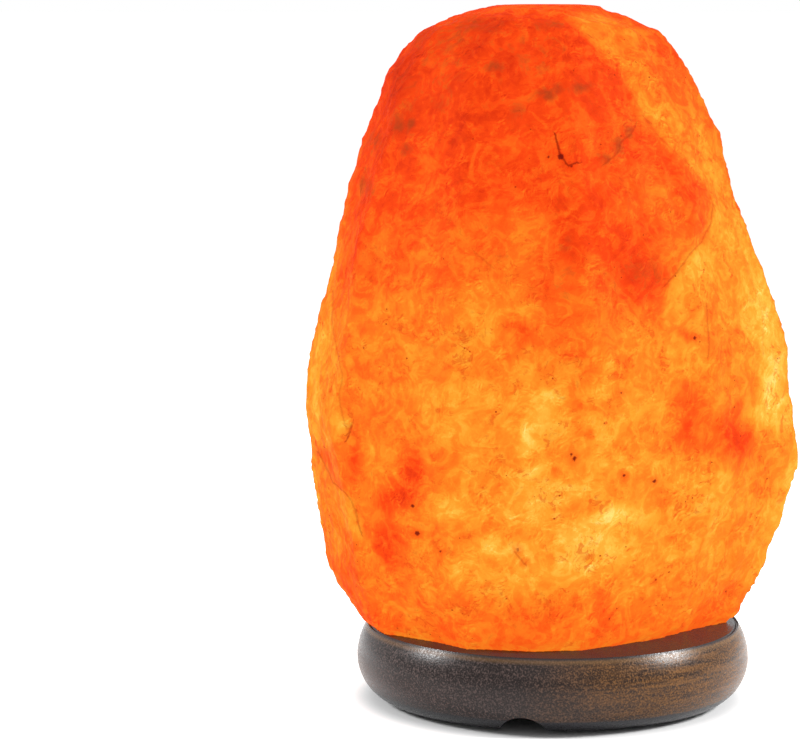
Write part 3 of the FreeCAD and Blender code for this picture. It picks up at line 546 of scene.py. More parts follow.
def round_over_top(mesh):
    """Wear the crystal's flat tip down round its middle."""
    points = read_points(mesh)
    off_middle = np.hypot(points[:, 0] - TIP_MIDDLE[0], points[:, 1] - TIP_MIDDLE[1])
    worn = TIP_WEAR * np.minimum(0.3 + (off_middle / TIP_REACH) ** 2, 1.4)
    points[:, 2] -= worn * ease(points[:, 2], CRYSTAL_TOP - TIP_DEPTH, CRYSTAL_TOP)
    place_points(mesh, points)


def shape_skirt(mesh):
    """Hew the skirt's front as the photograph shows it over the base: fullest in the middle
    and to the right, drawn in on the left, and fading out upwards."""
    points = read_points(mesh)
    aside, up, nearness = seen_places(points)
    toward = np.interp(aside, SKIRT_ASIDE, SKIRT_TOWARD) * ease(nearness, *SKIRT_NEARNESS)
    toward *= ease(SEAT + SKIRT_RISE - points[:, 2], 0.0, SKIRT_RISE)
    points[:, 0] += toward * math.sin(VIEW_TURN)
    points[:, 1] -= toward * math.cos(VIEW_TURN)
    place_points(mesh, points)


def make_crystal():
    """The hewn lump: the solid's own form on a fine even grid, then worn, chipped and
    pitted from outside. The bore and the seat stay as they are drilled and cut. It comes
    with how far each bump's side and each hewn flat turns the way that is painted light."""
    piece = bpy.data.objects.new("hewn_salt_crystal", nodes["salt_crystal"].data.copy())
    bpy.context.scene.collection.objects.link(piece)
    edit_all(piece)
    bpy.ops.mesh.remove_doubles(threshold=2.0 * WELD * MM)
    bpy.ops.object.mode_set(mode="OBJECT")
    apply_modifier(piece, "REMESH", mode="VOXEL", voxel_size=SALT_GRID * MM)

    hewn = piece.vertex_groups.new(name="hewn")
    points = read_points(piece.data)
    out = ease(np.hypot(points[:, 0], points[:, 1]), *BORE_CLEAR)
    out = np.maximum(out, ease(points[:, 2], CRYSTAL_TOP - BORE_END[0], CRYSTAL_TOP - BORE_END[1]))
    out *= ease(points[:, 2], SEAT + SEAT_CLEAR[0], SEAT + SEAT_CLEAR[1])
    for step in range(1, WEIGHT_STEPS + 1):
        members = np.nonzero(np.round(out * WEIGHT_STEPS) == step)[0]
        hewn.add(members.tolist(), step / WEIGHT_STEPS, "REPLACE")
    apply_modifier(piece, "SMOOTH", factor=0.5, iterations=8, vertex_group="hewn")
    round_over_top(piece.data)
    shape_skirt(piece.data)
    plain = read_normals(piece.data)
    # each relief, how high it stands in millimetres and which of its values stays in place;
    # the first swells the whole, to make up for what the smoothing took
    reliefs = [
        (None, 1.5, 0.0),
        (relief("hewn_flats", "VORONOI", 26.0, distance_metric="DISTANCE"), 2.0, 0.5),
        (relief("lumps", "CLOUDS", 14.0, noise_depth=3), 2.2, 0.5),
        (relief("chips", "VORONOI", 7.0, distance_metric="MANHATTAN", weight_1=-1.0, weight_2=1.0),
         0.9, 0.5),
        (relief("pits", "CLOUDS", 3.2, noise_depth=2, noise_type="HARD_NOISE"), 0.9, 0.5),
    ]
    for texture, height, middle in reliefs:
        apply_modifier(
            piece, "DISPLACE", texture=texture, strength=height * MM, mid_level=middle,
            vertex_group="hewn", texture_coords="LOCAL",
        )
    # sides turned this way are painted light, those turned away painted shade
    turn = np.array(PAINTED_LIGHT_TURN)
    egg = (points - np.array(EGG_MIDDLE)) / np.array(EGG_RADII) ** 2
    egg /= np.linalg.norm(egg, axis=1)[:, None]
    return piece, (read_normals(piece.data) - plain) @ turn, (plain - egg) @ turn


def keep_within(piece, margin=1.5, gap=0.05):
    """Ease the crystal's outermost bumps back inside the solid's own box, all but a gap."""
    mesh = piece.data
    points = read_points(mesh)
    low, high = (np.array(corner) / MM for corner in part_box("salt_crystal"))
    limit_low, limit_high = low + margin, high - margin
    over = points > limit_high
    eased = limit_high + (margin - gap) * np.tanh((points - limit_high) / margin)
    points = np.where(over, eased, points)
    under = points < limit_low
    under[:, 2] = False
    eased = limit_low - (margin - gap) * np.tanh((limit_low - points) / margin)
    place_points(mesh, np.where(under, eased, points))


def rock_salt():
    """Rock salt, hewn and lit from inside: light that has come through thick salt is deep
    red, through thin salt yellow. Growth bands and clay make crisp-edged clouds in it, with
    fine veins and rust-dark specks, and here and there a ripple has painted light on one
    side and painted shade on the other."""
    made, tree, shader, place = material("hewn_rock_salt_lit_within")
    marks = {}
    for name in ("warmth", "haze", "line_side", "line_depth", "grains"):
        marks[name] = add(tree, "Attribute", attribute_name=name).outputs["Fac"]
    leaning = add(tree, "VectorMath", {0: place, 1: RIPPLE_LEAN}, operation="ADD")
    patterns = {}
    for name, (width, detail, roughness, distortion) in SALT_PATTERNS.items():
        patterns[name] = add(tree, "TexNoise", {
            "Vector": leaning if name == "leaning_ripples" else place, "Scale": across(width),
            "Detail": detail, "Roughness": roughness, "Distortion": distortion,
        })
    masks = {}
    for name, (pattern, low, high, most) in SALT_MASKS.items():
        masks[name] = add(tree, "MapRange", {
            "Value": patterns[pattern], "From Min": low, "From Max": high, "To Max": most,
        })

    # the tone: the glow's warmth, varied by clouds, crisp-edged islands and flats, with
    # painted light and shade on the ripples
    swirl = add(tree, "TexNoise", {"Vector": place, "Scale": across(7.0), "Detail": 4.0}).outputs["Color"]
    swirl = add(tree, "VectorMath", {0: swirl, 1: (9.0 * MM,) * 3, 2: place}, operation="MULTIPLY_ADD")
    flats = add(tree, "TexVoronoi", {"Vector": swirl, "Scale": across(12.0)}).outputs
    flat = add(tree, "SeparateColor", {0: flats["Color"]}).outputs[1]
    # painted light and shade: the ripples less their shifted copy, lighter on one side of each
    ripple = add(tree, "Math", {0: patterns["ripples"], 1: patterns["leaning_ripples"]}, operation="SUBTRACT")
    rippled = add(tree, "MapRange", {
        "Value": patterns["veins"], "From Min": 0.49, "From Max": 0.62, "To Min": 0.05, "To Max": 0.8,
    })
    ripple = add(tree, "Math", {0: ripple, 1: rippled}, operation="MULTIPLY")
    tone = add(tree, "Math", {0: marks["warmth"], 1: SALT_LEVEL}, operation="SUBTRACT")
    for pattern, strength in (
        (patterns["clouds"], 0.46), (patterns["marbling"], 0.24), (masks["island"], 0.055),
        (masks["flake"], 0.04), (flat, 0.06), (ripple, 0.8), (patterns["grain"], 0.06),
    ):
        tone = add(tree, "Math", {0: pattern, 1: strength, 2: tone}, operation="MULTIPLY_ADD")
    lit = add(tree, "ValToRGB", {"Fac": tone}, stops=[
        (0.0, "#A82406"), (1.0, "#FFDF74"), (0.16, "#DE340C"), (0.30, "#F84610"),
        (0.46, "#FF6719"), (0.60, "#FF8320"), (0.74, "#FF9F2C"), (0.88, "#FFBC44"),
    ])

    # a vein runs where its noise crosses its middle level
    vein = add(tree, "Math", {0: patterns["veins"], 1: 0.5}, operation="SUBTRACT")
    vein = add(tree, "Math", {0: vein}, operation="ABSOLUTE")
    vein = add(tree, "MapRange", {"Value": vein, "From Max": 0.013, "To Min": 1.0, "To Max": 0.0})
    vein = add(tree, "Math", {0: vein, 1: masks["veined"]}, operation="MULTIPLY")
    fleck = add(tree, "Math", {0: masks["fleck"], 1: masks["flecked"]}, operation="MULTIPLY")
    # clay gathers along the flakes and the marbling
    clay = marks["haze"]
    for pattern, strength in ((patterns["flakes"], 1.5), (patterns["marbling"], 1.2)):
        clay = add(tree, "Math", {0: pattern, 1: strength, 2: clay}, operation="MULTIPLY_ADD")
    clay = add(tree, "MapRange", {"Value": clay, "From Min": 1.58, "From Max": 2.25, "To Max": 0.85})
    # specks are the middles of small cells, picked by each cell's own number, and more of
    # them where the clusters are dense
    cells = add(tree, "TexVoronoi", {"Vector": place, "Scale": across(1.9)}).outputs
    picked = add(tree, "SeparateColor", {0: cells["Color"]})
    picked = add(tree, "Math", {0: patterns["clusters"], 1: 3.0, 2: picked}, operation="MULTIPLY_ADD")
    size = add(tree, "MapRange", {"Value": picked, "From Min": 2.36, "From Max": 2.75, "To Max": 0.2})
    speck = add(tree, "Math", {0: size, 1: cells["Distance"]}, operation="SUBTRACT")
    speck = add(tree, "MapRange", {"Value": speck, "From Max": 0.05, "To Max": 0.8})
    # the marks that were laid on the points: cracks with ragged edges, and dark grains, each
    # in a redder halo
    ragged = add(tree, "Math", {0: patterns["grain"], 1: 0.9}, operation="MULTIPLY")
    line = add(tree, "Math", {0: marks["line_side"]}, operation="ABSOLUTE")
    line = add(tree, "Math", {0: line, 1: ragged}, operation="ADD")
    line = add(tree, "MapRange", {
        "Value": line, "From Min": 0.55, "From Max": 1.0, "To Min": 1.0, "To Max": 0.0,
    })
    line = add(tree, "Math", {0: line, 1: marks["line_depth"]}, operation="MULTIPLY")
    halo = add(tree, "MapRange", {
        "Value": marks["grains"], "From Min": 0.35, "From Max": 1.0, "To Max": 0.45,
    })
    spot = add(
        tree, "Math", {0: patterns["grain"], 1: 0.35, 2: marks["grains"]}, operation="MULTIPLY_ADD"
    )
    spot = add(tree, "MapRange", {"Value": spot, "From Min": 1.13, "From Max": 1.27, "To Max": 0.9})
    for share, code in (
        (vein, "#D2440C"), (fleck, "#E04410"), (clay, "#B23E18"), (speck, "#A82C08"),
        (halo, "#F03C08"), (line, "#9C2206"), (spot, "#74120A"),
    ):
        lit = add(tree, "Mix", {0: share, 6: lit, 7: colour(code)}, data_type="RGBA").outputs[2]

    # unlit, the salt itself is dark against its own glow
    body = add(tree, "Mix", {0: 0.88, 6: lit, 7: (0.0, 0.0, 0.0, 1.0)}, data_type="RGBA").outputs[2]
    bump = add(tree, "Bump", {"Height": patterns["ripples"], "Strength": 0.3, "Distance": 0.4 * MM})
    feed(tree, shader, {
        "Base Color": body, "Emission Color": lit, "Emission Strength": 0.92, "Roughness": 0.75,
        "IOR": 1.54, "Specular IOR Level": 0.02, "Normal": bump,
    })
    return made


crystal, relief_shading, flat_shading = make_crystal()
keep_within(crystal)
mark_crystal(crystal, relief_shading, flat_shading)
settle(crystal, "hewn_salt_crystal", 60.0)
paint(crystal, rock_salt())
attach(crystal, "base_and_crystal")
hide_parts("salt_crystal")


# ---- the wooden base
# Its levels and radii: the belly, the rim round the top, the foot's edge, the recess for the
# holder's plate and the bore. Sharp edges are eased.
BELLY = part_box("wood_base")[1].x / MM
WIDEST = WOOD_FLOOR + 12.5
RIM = BELLY - 3.2
FLOOR_EDGE = BELLY - 6.5
FLOOR_CORNER = (0.9, 0.5)
RECESS = 27.5
RECESS_ROOF = WOOD_FLOOR + 7.0
BORE = 23.0
EASE = 0.4
# The rim's corner, as steps out from the rim and down from the seat.
RIM_CORNER = [(0.2, 0.6), (0.0, 0.25), (-0.12, 0.08), (-0.2, 0.08)]
LINE_WIDTH = 1.2
LINE_DEPTH = 0.7
LINE_FLOOR = 0.2
# Pockets and holes: where they stand, and their radius and depth.
SCREW_RING = 34.0
SCREW_START = 90.0
SCREW_POCKET = (4.6, 6.5)
SCREW_HOLE = 2.1
FOOT_RING = 48.0
FOOT_START = 45.0
FOOT_POCKET = (4.55, 1.5)
NOTCH_WIDTH = 15.1
NOTCH_RISE = 5.0
# How far a cutter runs past what it cuts.
PAST = 1.0
NOTCH_PAST = 6.0
BASE_SIDES = 224
NOTCH_SIDES = 144
ARC_STEPS = 12


def make_wood_base():
    """The turned disc: bellied side, a line cut round its top, recess, bore and notch."""
    line = RIM - LINE_WIDTH / 2.0
    corner = [(RIM + out, SEAT - down) for out, down in RIM_CORNER]
    profile = [
        (RECESS, WOOD_FLOOR + EASE), (RECESS + EASE, WOOD_FLOOR),
        (FLOOR_EDGE - FLOOR_CORNER[0], WOOD_FLOOR),
    ]
    profile += arc((FLOOR_EDGE, WOOD_FLOOR + FLOOR_CORNER[1]), (BELLY, WIDEST), WIDEST, ARC_STEPS)
    profile += arc((BELLY, WIDEST), corner[0], WIDEST, ARC_STEPS)[1:] + corner[1:]
    profile += [
        (line + LINE_FLOOR, SEAT - LINE_DEPTH), (line - LINE_FLOOR, SEAT - LINE_DEPTH),
        (RIM - LINE_WIDTH, SEAT - 0.06), (RIM - LINE_WIDTH - 0.2, SEAT),
        (BORE + EASE, SEAT), (BORE, SEAT - EASE), (BORE, RECESS_ROOF), (RECESS, RECESS_ROOF),
        (RECESS, WOOD_FLOOR + EASE),
    ]
    base = turned_piece("stained_wood_base", profile, BASE_SIDES, smooth_angle=40.0)
    arch = (NOTCH_WIDTH ** 2 / 4.0 + NOTCH_RISE ** 2) / (2.0 * NOTCH_RISE)
    bpy.ops.mesh.primitive_cylinder_add(
        vertices=NOTCH_SIDES, radius=arch * MM, depth=(BELLY - RECESS + 2.0 * NOTCH_PAST) * MM,
        location=(0.0, -(BELLY + RECESS) / 2.0 * MM, (WOOD_FLOOR + NOTCH_RISE - arch) * MM),
        rotation=(FULL_TURN / 4.0, 0.0, 0.0),
    )
    cutters = [bpy.context.object]
    radius, depth = SCREW_POCKET
    for place in ring_of(3, SCREW_RING, SCREW_START):
        cutters.append(drill(radius, WOOD_FLOOR - PAST, WOOD_FLOOR + depth, place))
        cutters.append(drill(SCREW_HOLE, WOOD_FLOOR + depth - PAST / 2.0, SEAT + PAST, place))
    radius, depth = FOOT_POCKET
    for place in ring_of(4, FOOT_RING, FOOT_START):
        cutters.append(drill(radius, WOOD_FLOOR - PAST, WOOD_FLOOR + depth, place))
    cut_with(base, cutters)
    return settle(base, "stained_wood_base", 40.0)


def turned_wood():
    """Light hardwood, turned, stained nearly black and lacquered: the stain lies thinner
    towards one side, where golden wood shows in streaks along the turning, and open pores
    give the whole a fine pale speckle and broken highlights."""
    made, tree, shader, place = material("dark_stained_lacquered_hardwood")
    parts = add(tree, "SeparateXYZ", {0: place}).outputs
    flat = add(tree, "CombineXYZ", {0: parts[0], 1: parts[1]})
    radius = add(tree, "VectorMath", {0: flat}, operation="LENGTH").outputs["Value"]
    along = add(tree, "Math", {0: radius, 1: parts[2]}, operation="ADD")
    lathe = add(tree, "CombineXYZ", {0: parts[0], 1: parts[1], 2: along})
    stretched = add(tree, "Mapping", {"Vector": lathe, "Scale": (across(16.0), across(16.0), across(0.8))})
    streaks = add(tree, "TexNoise", {
        "Vector": stretched, "Scale": 1.0, "Detail": 4.0, "Roughness": 0.62,
    })
    pores = add(tree, "TexNoise", {
        "Vector": place, "Scale": across(0.55), "Detail": 1.5, "Roughness": 0.6,
    })
    patches = add(tree, "TexNoise", {"Vector": place, "Scale": across(30.0), "Detail": 3.0})
    sideways = (math.cos(VIEW_TURN), math.sin(VIEW_TURN), 0.0)
    side = add(tree, "VectorMath", {0: place, 1: sideways}, operation="DOT_PRODUCT").outputs["Value"]
    lean = add(tree, "Math", {0: patches, 1: 50.0 * MM, 2: side}, operation="MULTIPLY_ADD")
    thin = add(tree, "MapRange", {"Value": lean, "From Min": 5.0 * MM, "From Max": 62.0 * MM},
               interpolation_type="SMOOTHSTEP")
    # the stained ground and the pale speckle, each where the stain is thick and where thin
    stains = []
    for thick_code, thin_code in (("#1D1412", "#28180D"), ("#5E4E4A", "#7E5426")):
        stain = {0: thin, 6: colour(thick_code), 7: colour(thin_code)}
        stains.append(add(tree, "Mix", stain, data_type="RGBA").outputs[2])
    spots = add(tree, "MapRange", {"Value": pores, "From Min": 0.50, "From Max": 0.68})
    bands = add(tree, "MapRange", {"Value": streaks, "From Min": 0.42, "From Max": 0.66})
    bands = add(tree, "Math", {0: bands, 1: thin}, operation="MULTIPLY")
    show = add(
        tree, "Math", {0: bands, 1: 0.55, 2: spots}, operation="MULTIPLY_ADD", use_clamp=True
    )
    show = add(tree, "Math", {0: show, 1: 0.85}, operation="MULTIPLY")
    coat = add(tree, "Mix", {0: show, 6: stains[0], 7: stains[1]}, data_type="RGBA").outputs[2]
    # the rim is worn to bare wood in a thin line. Everything nearer the axis than the rim is
    # painted dark grey as painted shade: the flat ring under the crystal, the lowest few
    # millimetres of the side, the underside, the recess and the bore
    worn = add(tree, "MapRange", {
        "Value": parts[2], "From Min": (SEAT - 2.0) * MM, "From Max": (SEAT - 1.0) * MM, "To Max": 0.4,
    })
    # painted shade: dark grey inside the rim's radius
    painted_shade_inside_rim = add(tree, "MapRange", {
        "Value": radius, "From Min": (RIM + 0.3) * MM, "From Max": (RIM - 0.1) * MM,
    })
    for share, code in ((worn, "#80603C"), (painted_shade_inside_rim, "#272629")):
        coat = add(tree, "Mix", {0: share, 6: coat, 7: colour(code)}, data_type="RGBA").outputs[2]
    gloss = add(tree, "MapRange", {
        "Value": pores, "From Min": 0.35, "From Max": 0.65, "To Min": 0.20, "To Max": 0.42,
    })
    bump = add(tree, "Bump", {"Height": pores, "Strength": 0.7, "Distance": 0.07 * MM})
    feed(tree, shader, {
        "Base Color": coat, "Roughness": gloss, "Specular IOR Level": 0.25,
        "Normal": bump,
    })
    return made


wood = make_wood_base()
paint(wood, turned_wood())
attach(wood, "base_and_crystal")
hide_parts("wood_base")


# ---- the small parts' finishes
def plain_finish(name, dark, light, width, rough_low, rough_high, bump_depth, **sockets):
    """A finish that varies between two close colours and two gloss levels over a width."""
    made, tree, shader, place = material(name)
    vary = add(tree, "TexNoise", {"Vector": place, "Scale": across(width), "Detail": 4.0})
    shade = add(tree, "Mix", {0: vary, 6: colour(dark), 7: colour(light)}, data_type="RGBA").outputs[2]
    gloss = add(tree, "MapRange", {"Value": vary, "To Min": rough_low, "To Max": rough_high})
    feed(tree, shader, {"Base Color": shade, "Roughness": gloss})
    if bump_depth:
        bump = add(tree, "Bump", {"Height": vary, "Strength": 0.4, "Distance": bump_depth * MM})
        feed(tree, shader, {"Normal": bump})
    feed(tree, shader, {socket.replace("_", " "): value for socket, value in sockets.items()})
    return made


# Moulded natural rubber: matt, nearly black, faintly dusty.
rubber = plain_finish("moulded_black_rubber", "#161617", "#29292A", 1.2, 0.65, 0.85, 0.05)
# Zinc plate on pressed steel: pale, slightly blotched and softly shiny.
zinc = plain_finish("zinc_plated_steel", "#A7ABB0", "#CDD0D2", 3.0, 0.25, 0.45, 0.02, Metallic=1.0)
# Tempered strip steel: greyer and smoother than the plate.
spring = plain_finish("tempered_spring_steel", "#6C6F73", "#9B9EA1", 2.0, 0.22, 0.36, 0.01, Metallic=1.0)
# Nylon wall plugs: matt grey with a little bloom.
nylon = plain_finish("moulded_grey_nylon", "#83878A", "#969A9C", 2.0, 0.5, 0.65, 0.03)
# Phenolic moulding: black with a brown cast and a shell-like gloss.
phenolic = plain_finish("pressed_black_phenolic", "#120F0D", "#241D19", 1.6, 0.24, 0.4, 0.02)
# Glazed porcelain: warm white, glossy.
porcelain = plain_finish("glazed_white_porcelain", "#E6E1D6", "#F2EFE8", 4.0, 0.1, 0.22, 0.0)
# Rolled brass strip: yellow metal with darker tarnish.
brass = plain_finish("rolled_brass", "#B08A3C", "#D8B661", 1.8, 0.2, 0.4, 0.01, Metallic=1.0)
# Nickel plate on the bulb's cap: warm grey mirror with rub marks.
nickel = plain_finish("nickel_plated_brass", "#B9B4AA", "#DAD6CE", 1.5, 0.16, 0.32, 0.01, Metallic=1.0)
# Soft solder: dull grey, lumpy.
solder = plain_finish("soft_solder", "#8D9093", "#B4B7B9", 0.8, 0.35, 0.6, 0.05, Metallic=1.0)
# Black glass, pressed in hot round the tip: glossy.
black_glass = plain_finish("pressed_black_insulator_glass", "#08080A", "#16161A", 1.0, 0.06, 0.15, 0.0)
# Blown soda glass: clear, a little green in the thickness.
glass = plain_finish(
    "blown_clear_glass", "#F4FAF6", "#FFFFFF", 9.0, 0.0, 0.02, 0.0, Transmission_Weight=1.0, IOR=1.52
)
# Drawn tungsten, alight: white-hot yellow.
tungsten = plain_finish(
    "glowing_tungsten", "#8C8880", "#A7A39B", 0.5, 0.3, 0.5, 0.0, Metallic=1.0,
    Emission_Color=colour("#FFC46A"), Emission_Strength=3.0
)


# ---- threads and screw heads
# The bulb's cap: its wall, the hole for the tip, how far the glass's neck sits in it, and how
# much narrower it is inside below the neck. Its thread is shallower over the neck.
BULB_PITCH = 2.54
CAP_WALL = 0.3
CAP_HOLE = 2.8
NECK_SUNK = 7.0
CAP_INSIDE = 0.95
THREAD_DEEP = 0.5
THREAD_SHALLOW = 0.26
# The holder's shell, whose thread keeps clear of the bulb's.
SHELL_THREAD = 0.2
SHELL_WALL = 0.4
SHELL_STEP = 0.3
SHELL_SIDES = 72
NIPPLE_BORE = 3.9
NIPPLE_PITCH = 1.0
NIPPLE_THREAD = 0.3
NIPPLE_SIDES = 64
# The crystal's screws: shank and head, by their radius, and the head's height.
SCREW_SHANK = 2.0
SCREW_HEAD = 3.8
HEAD_HEIGHT = 2.4
SCREW_PITCH = 1.8
SCREW_THREAD = 0.45
SCREW_SIDES = 40
# The cross recess's blades: their half width at the face and at the bottom, how thin they
# are, how long, and how far over the face their middle lies.
BLADE_WIDE = 2.1
BLADE_NARROW = 0.9
BLADE_THIN = 0.3
BLADE_LENGTH = 1.8
BLADE_MIDDLE = 0.7


def wall_of(radius, low, high, step):
    """An upright stretch of a profile in short even steps."""
    count = round((high - low) / step)
    return [(radius, low + (high - low) * place / count) for place in range(count + 1)]


def press_thread(piece, inner, pitch, heights, depths):
    """Sink a right-hand round thread into the walls beyond a radius, as deep at each height
    as the depths say. Threads of one pitch lie over each other."""
    points = read_points(piece.data)
    off = np.hypot(points[:, 0], points[:, 1])
    turn = np.arctan2(points[:, 1], points[:, 0]) / FULL_TURN
    valley = 0.5 - 0.5 * np.cos(FULL_TURN * (points[:, 2] / pitch - turn))
    sunk = np.where(off > inner, valley * np.interp(points[:, 2], heights, depths), 0.0)
    points[:, :2] *= ((off - sunk) / np.maximum(off, 0.001))[:, None]
    place_points(piece.data, points)


def levels_of(node):
    """A round node's lowest and highest level, and its radius."""
    low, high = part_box(node)
    return low.z / MM, high.z / MM, (high.y - low.y) / 2.0 / MM


def dress(piece, node, body, finish):
    """Let a finished piece stand for a node."""
    paint(piece, finish)
    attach(piece, body)
    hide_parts(node)


def make_bulb_cap():
    """The bulb's rolled screw cap. The thread runs shallower where the neck sits in it."""
    low, high, outer = levels_of("bulb_cap")
    inside, neck = outer - CAP_INSIDE, high - NECK_SUNK - CAP_WALL
    profile = [(CAP_HOLE, low), (outer - 0.8, low), (outer - 0.25, low + 0.2), (outer, low + 0.6)]
    profile += wall_of(outer, low + 0.9, high - 0.6, SHELL_STEP)
    profile += [
        (outer, high), (outer - CAP_WALL, high), (outer - CAP_WALL, neck), (inside, neck - 0.5),
        (inside, low + CAP_WALL), (CAP_HOLE, low + CAP_WALL), (CAP_HOLE, low),
    ]
    cap = turned_piece("threaded_bulb_cap", profile, SHELL_SIDES)
    heights = (low + 0.6, low + 1.4, neck - 0.8, neck, high - 1.6, high - 0.9)
    depths = (0.0, THREAD_DEEP, THREAD_DEEP, THREAD_SHALLOW, THREAD_SHALLOW, 0.0)
    press_thread(cap, outer - 0.1, BULB_PITCH, heights, depths)
    return settle(cap, "threaded_bulb_cap", 50.0)


def make_screw_shell():
    """The holder's rolled brass thread, in step with the bulb's."""
    low, high, outer = levels_of("screw_shell")
    inner = outer - SHELL_WALL
    profile = wall_of(outer, low, high, SHELL_STEP)
    profile += [(inner, level) for radius, level in reversed(profile)]
    shell = turned_piece("threaded_screw_shell", profile + [(outer, low)], SHELL_SIDES)
    heights = (low + 1.0, low + 2.0, high - 2.0, high - 1.0)
    press_thread(shell, 0.0, BULB_PITCH, heights, (0.0, SHELL_THREAD, SHELL_THREAD, 0.0))
    return settle(shell, "threaded_screw_shell", 50.0)


def make_nipple():
    """The hollow nipple with its fine thread."""
    low, high, outer = levels_of("nipple")
    lead_in, chamfer = 0.3, 0.4
    profile = [
        (NIPPLE_BORE, low + lead_in), (NIPPLE_BORE + lead_in, low),
        (outer - chamfer, low), (outer, low + chamfer),
    ]
    profile += wall_of(outer, low + 0.5, high - 0.5, NIPPLE_PITCH / 8.0)
    profile += [
        (outer, high - chamfer), (outer - chamfer, high),
        (NIPPLE_BORE + lead_in, high), (NIPPLE_BORE, high - lead_in), (NIPPLE_BORE, low + lead_in),
    ]
    nipple = turned_piece("threaded_nipple", profile, NIPPLE_SIDES)
    heights = (low + 0.4, low + 0.9, high - 0.9, high - 0.4)
    press_thread(nipple, outer - 0.1, NIPPLE_PITCH, heights, (0.0, NIPPLE_THREAD, NIPPLE_THREAD, 0.0))
    return settle(nipple, "threaded_nipple", 50.0)


def screw_recess(level):
    """Two tapered blades that cross, as a driver's tip, standing on the head's face."""
    blades = []
    for spread in ((1.0, BLADE_THIN, 1.0), (BLADE_THIN, 1.0, 1.0)):
        bpy.ops.object.select_all(action="DESELECT")
        bpy.ops.mesh.primitive_cone_add(
            vertices=4, radius1=BLADE_WIDE * MM, radius2=BLADE_NARROW * MM, depth=BLADE_LENGTH * MM,
            location=(0.0, 0.0, (level + BLADE_MIDDLE) * MM), rotation=(0.0, 0.0, FULL_TURN / 8.0),
        )
        blade = bpy.context.object
        bpy.ops.object.transform_apply(location=True, rotation=True, scale=True)
        edit_all(blade)
        bpy.ops.transform.resize(value=spread)
        bpy.ops.object.mode_set(mode="OBJECT")
        blades.append(blade)
    return blades


def make_crystal_screws():
    """Pan-head screws with a cross recess: one is modelled, and the rest are its copies."""
    low, high = (corner.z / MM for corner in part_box("crystal_screws"))
    shoulder = low + HEAD_HEIGHT
    profile = [
        (2.6, low), (3.2, low + 0.25), (SCREW_HEAD - 0.2, low + 0.8), (SCREW_HEAD, low + 1.4),
        (SCREW_HEAD, shoulder),
    ]
    profile += wall_of(SCREW_SHANK, shoulder, high - 2.0, SCREW_PITCH / 6.0) + [(0.2, high)]
    screw = turned_piece("crystal_screw", profile, SCREW_SIDES, solid=True)
    heights = (shoulder + 3.0, shoulder + 4.5, high - 2.1, high - 2.0)
    press_thread(screw, 1.0, SCREW_PITCH, heights, (0.0, SCREW_THREAD, SCREW_THREAD, 0.3))
    cut_with(screw, screw_recess(low))
    screws = []
    for x, y in ring_of(3, SCREW_RING, SCREW_START):
        copy = bpy.data.objects.new("crystal_screw", screw.data.copy())
        bpy.context.scene.collection.objects.link(copy)
        copy.location = (x * MM, y * MM, 0.0)
        screws.append(copy)
    bpy.data.objects.remove(screw)
    activate(screws[0])
    for copy in screws:
        copy.select_set(True)
    bpy.ops.object.join()
    return settle(screws[0], "cross_head_crystal_screws", 40.0)


dress(make_bulb_cap(), "bulb_cap", "bulb", nickel)
dress(make_screw_shell(), "screw_shell", "bulb_holder", brass)
dress(make_nipple(), "nipple", "bulb_holder", zinc)
dress(make_crystal_screws(), "crystal_screws", "base_and_crystal", zinc)

FINISHES = [
    (rubber, ["rubber_feet"]),
    (zinc, ["screw_washers", "holder_plate"]),
    (nylon, ["crystal_plugs"]),
    (spring, ["lock_washer", "clip_yoke", "spring_arm_right", "spring_arm_left"]),
    (brass, ["nipple_nut", "centre_contact", "side_contact", "terminal_screws"]),
    (phenolic, ["holder_cap", "holder_shell"]),
    (porcelain, ["contact_carrier"]),
    (solder, ["bulb_tip_contact"]),
    (black_glass, ["bulb_insulator"]),
    (glass, ["bulb_glass", "bulb_stem"]),
    (nickel, ["lead_wires", "filament_supports"]),
    (tungsten, ["filament"]),
]
for finish, names in FINISHES:
    for name in names:
        paint(nodes[name], finish)


# ---- camera, floor and light
ROOM_LIGHT = 0.36
# How much the floor is lifted to white where it is seen: not at all at the base's edge, and
# in full at this many times the belly's radius. It is as wide as this, in metres.
FLOOR_LIFT = 0.72
LIFT_REACH = 1.12
FLOOR_SIZE = 80.0
# The soft lights aim at this height. Each one's direction from there is in the camera's own
# terms, to its right, away from it and up; then come its distance and size, and its watts.
AIM_HEIGHT = 0.1
SOFT_LIGHTS = {
    "left_softbox": ((-0.87, -0.08, 0.48), 1.1, 0.28, 9.0),
    "right_softbox": ((0.85, -0.12, 0.50), 1.1, 0.28, 15.0),
    "front_fill": ((0.0, -1.0, 0.7), 1.6, 1.2, 1.5),
}


def make_camera():
    """The photograph's own viewpoint."""
    data = bpy.data.cameras.new("viewpoint")
    data.sensor_width = SENSOR_WIDTH
    data.lens = LENS
    camera = bpy.data.objects.new("viewpoint", data)
    camera.location = Vector(EYE) * MM
    camera.rotation_euler = (math.radians(90.0) + VIEW_PITCH, 0.0, VIEW_TURN + VIEW_PAN)
    bpy.context.scene.collection.objects.link(camera)
    bpy.context.scene.camera = camera


def seen_directly(tree):
    """1 where a ray comes straight from the camera, off gloss or through glass."""
    path = add(tree, "LightPath").outputs
    seen = path["Is Camera Ray"]
    for ray in ("Is Glossy Ray", "Is Transmission Ray"):
        seen = add(tree, "Math", {0: seen, 1: path[ray]}, operation="MAXIMUM")
    return seen


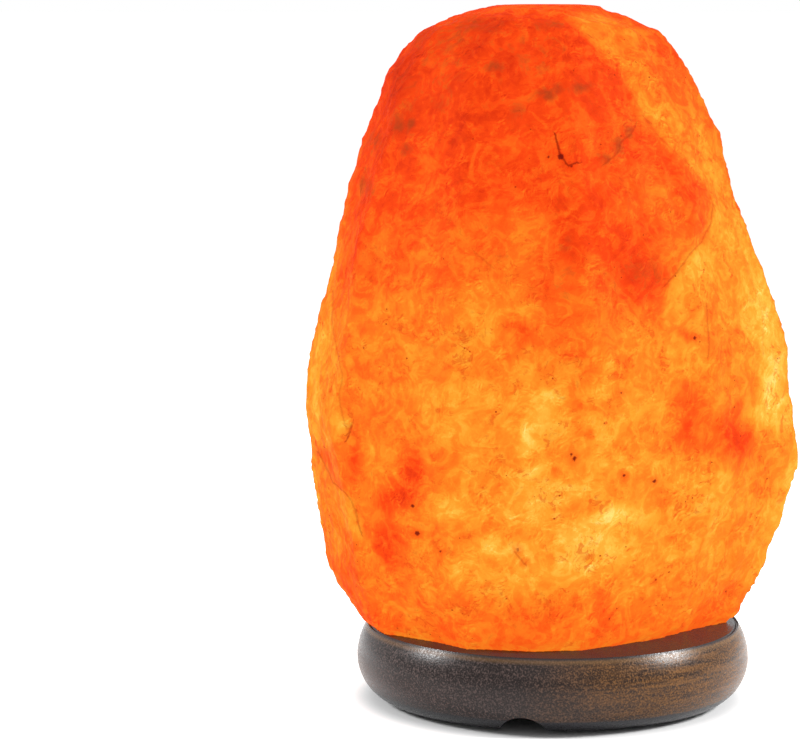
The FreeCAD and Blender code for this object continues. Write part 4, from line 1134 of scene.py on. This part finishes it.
def make_floor():
    """A plain white floor that keeps the lamp's soft shadow."""
    bpy.ops.object.select_all(action="DESELECT")
    bpy.ops.mesh.primitive_plane_add(size=FLOOR_SIZE)
    floor = bpy.context.object
    floor.name = "floor"
    made, tree, shader, place = material("plain_white_floor")
    dust = add(tree, "TexNoise", {"Vector": place, "Scale": across(400.0)})
    white = add(tree, "Mix", {0: dust, 6: colour("#F6F6F6"), 7: colour("#F9F9F9")}, data_type="RGBA")
    from_middle = add(tree, "VectorMath", {0: place}, operation="LENGTH").outputs["Value"]
    clear = add(tree, "MapRange", {
        "Value": from_middle, "From Min": FLOOR_EDGE * MM, "From Max": LIFT_REACH * BELLY * MM,
        "To Max": FLOOR_LIFT,
    }, interpolation_type="SMOOTHSTEP")
    lift = add(tree, "Math", {0: seen_directly(tree), 1: clear}, operation="MULTIPLY")
    feed(tree, shader, {
        "Base Color": white.outputs[2], "Roughness": 0.9, "Specular IOR Level": 0.0,
        "Emission Color": (1.0, 1.0, 1.0, 1.0), "Emission Strength": lift,
    })
    # from below, the floor lets the lamp's underside be seen
    under = add(tree, "NewGeometry").outputs["Backfacing"]
    either = add(tree, "MixShader", {0: under, 1: shader, 2: add(tree, "BsdfTransparent")})
    feed(tree, tree.nodes["Material Output"], {"Surface": either})
    paint(floor, made)


def make_world():
    """A white room: full white where it is seen, softer where it lights the lamp."""
    world = bpy.data.worlds.new("white_room")
    world.use_nodes = True
    bpy.context.scene.world = world
    tree = world.node_tree
    level = add(tree, "MapRange", {"Value": seen_directly(tree), "To Min": ROOM_LIGHT, "To Max": 1.0})
    feed(tree, tree.nodes["Background"], {"Color": (1.0, 1.0, 1.0, 1.0), "Strength": level})


def soft_light(name, toward, distance, size, watts):
    """A square soft light that faces the lamp."""
    data = bpy.data.lights.new(name, "AREA")
    data.shape = "SQUARE"
    data.size = size
    data.energy = watts
    lamp = bpy.data.objects.new(name, data)
    right, away, up = Vector(toward).normalized() * distance
    lamp.location = (
        right * math.cos(VIEW_TURN) - away * math.sin(VIEW_TURN),
        right * math.sin(VIEW_TURN) + away * math.cos(VIEW_TURN),
        up + AIM_HEIGHT,
    )
    aim = Vector((0.0, 0.0, AIM_HEIGHT)) - lamp.location
    lamp.rotation_euler = aim.to_track_quat("-Z", "Y").to_euler()
    bpy.context.scene.collection.objects.link(lamp)


make_camera()
make_floor()
make_world()
for name, (toward, distance, size, watts) in SOFT_LIGHTS.items():
    soft_light(name, toward, distance, size, watts)
bpy.context.scene.view_settings.view_transform = "Standard"
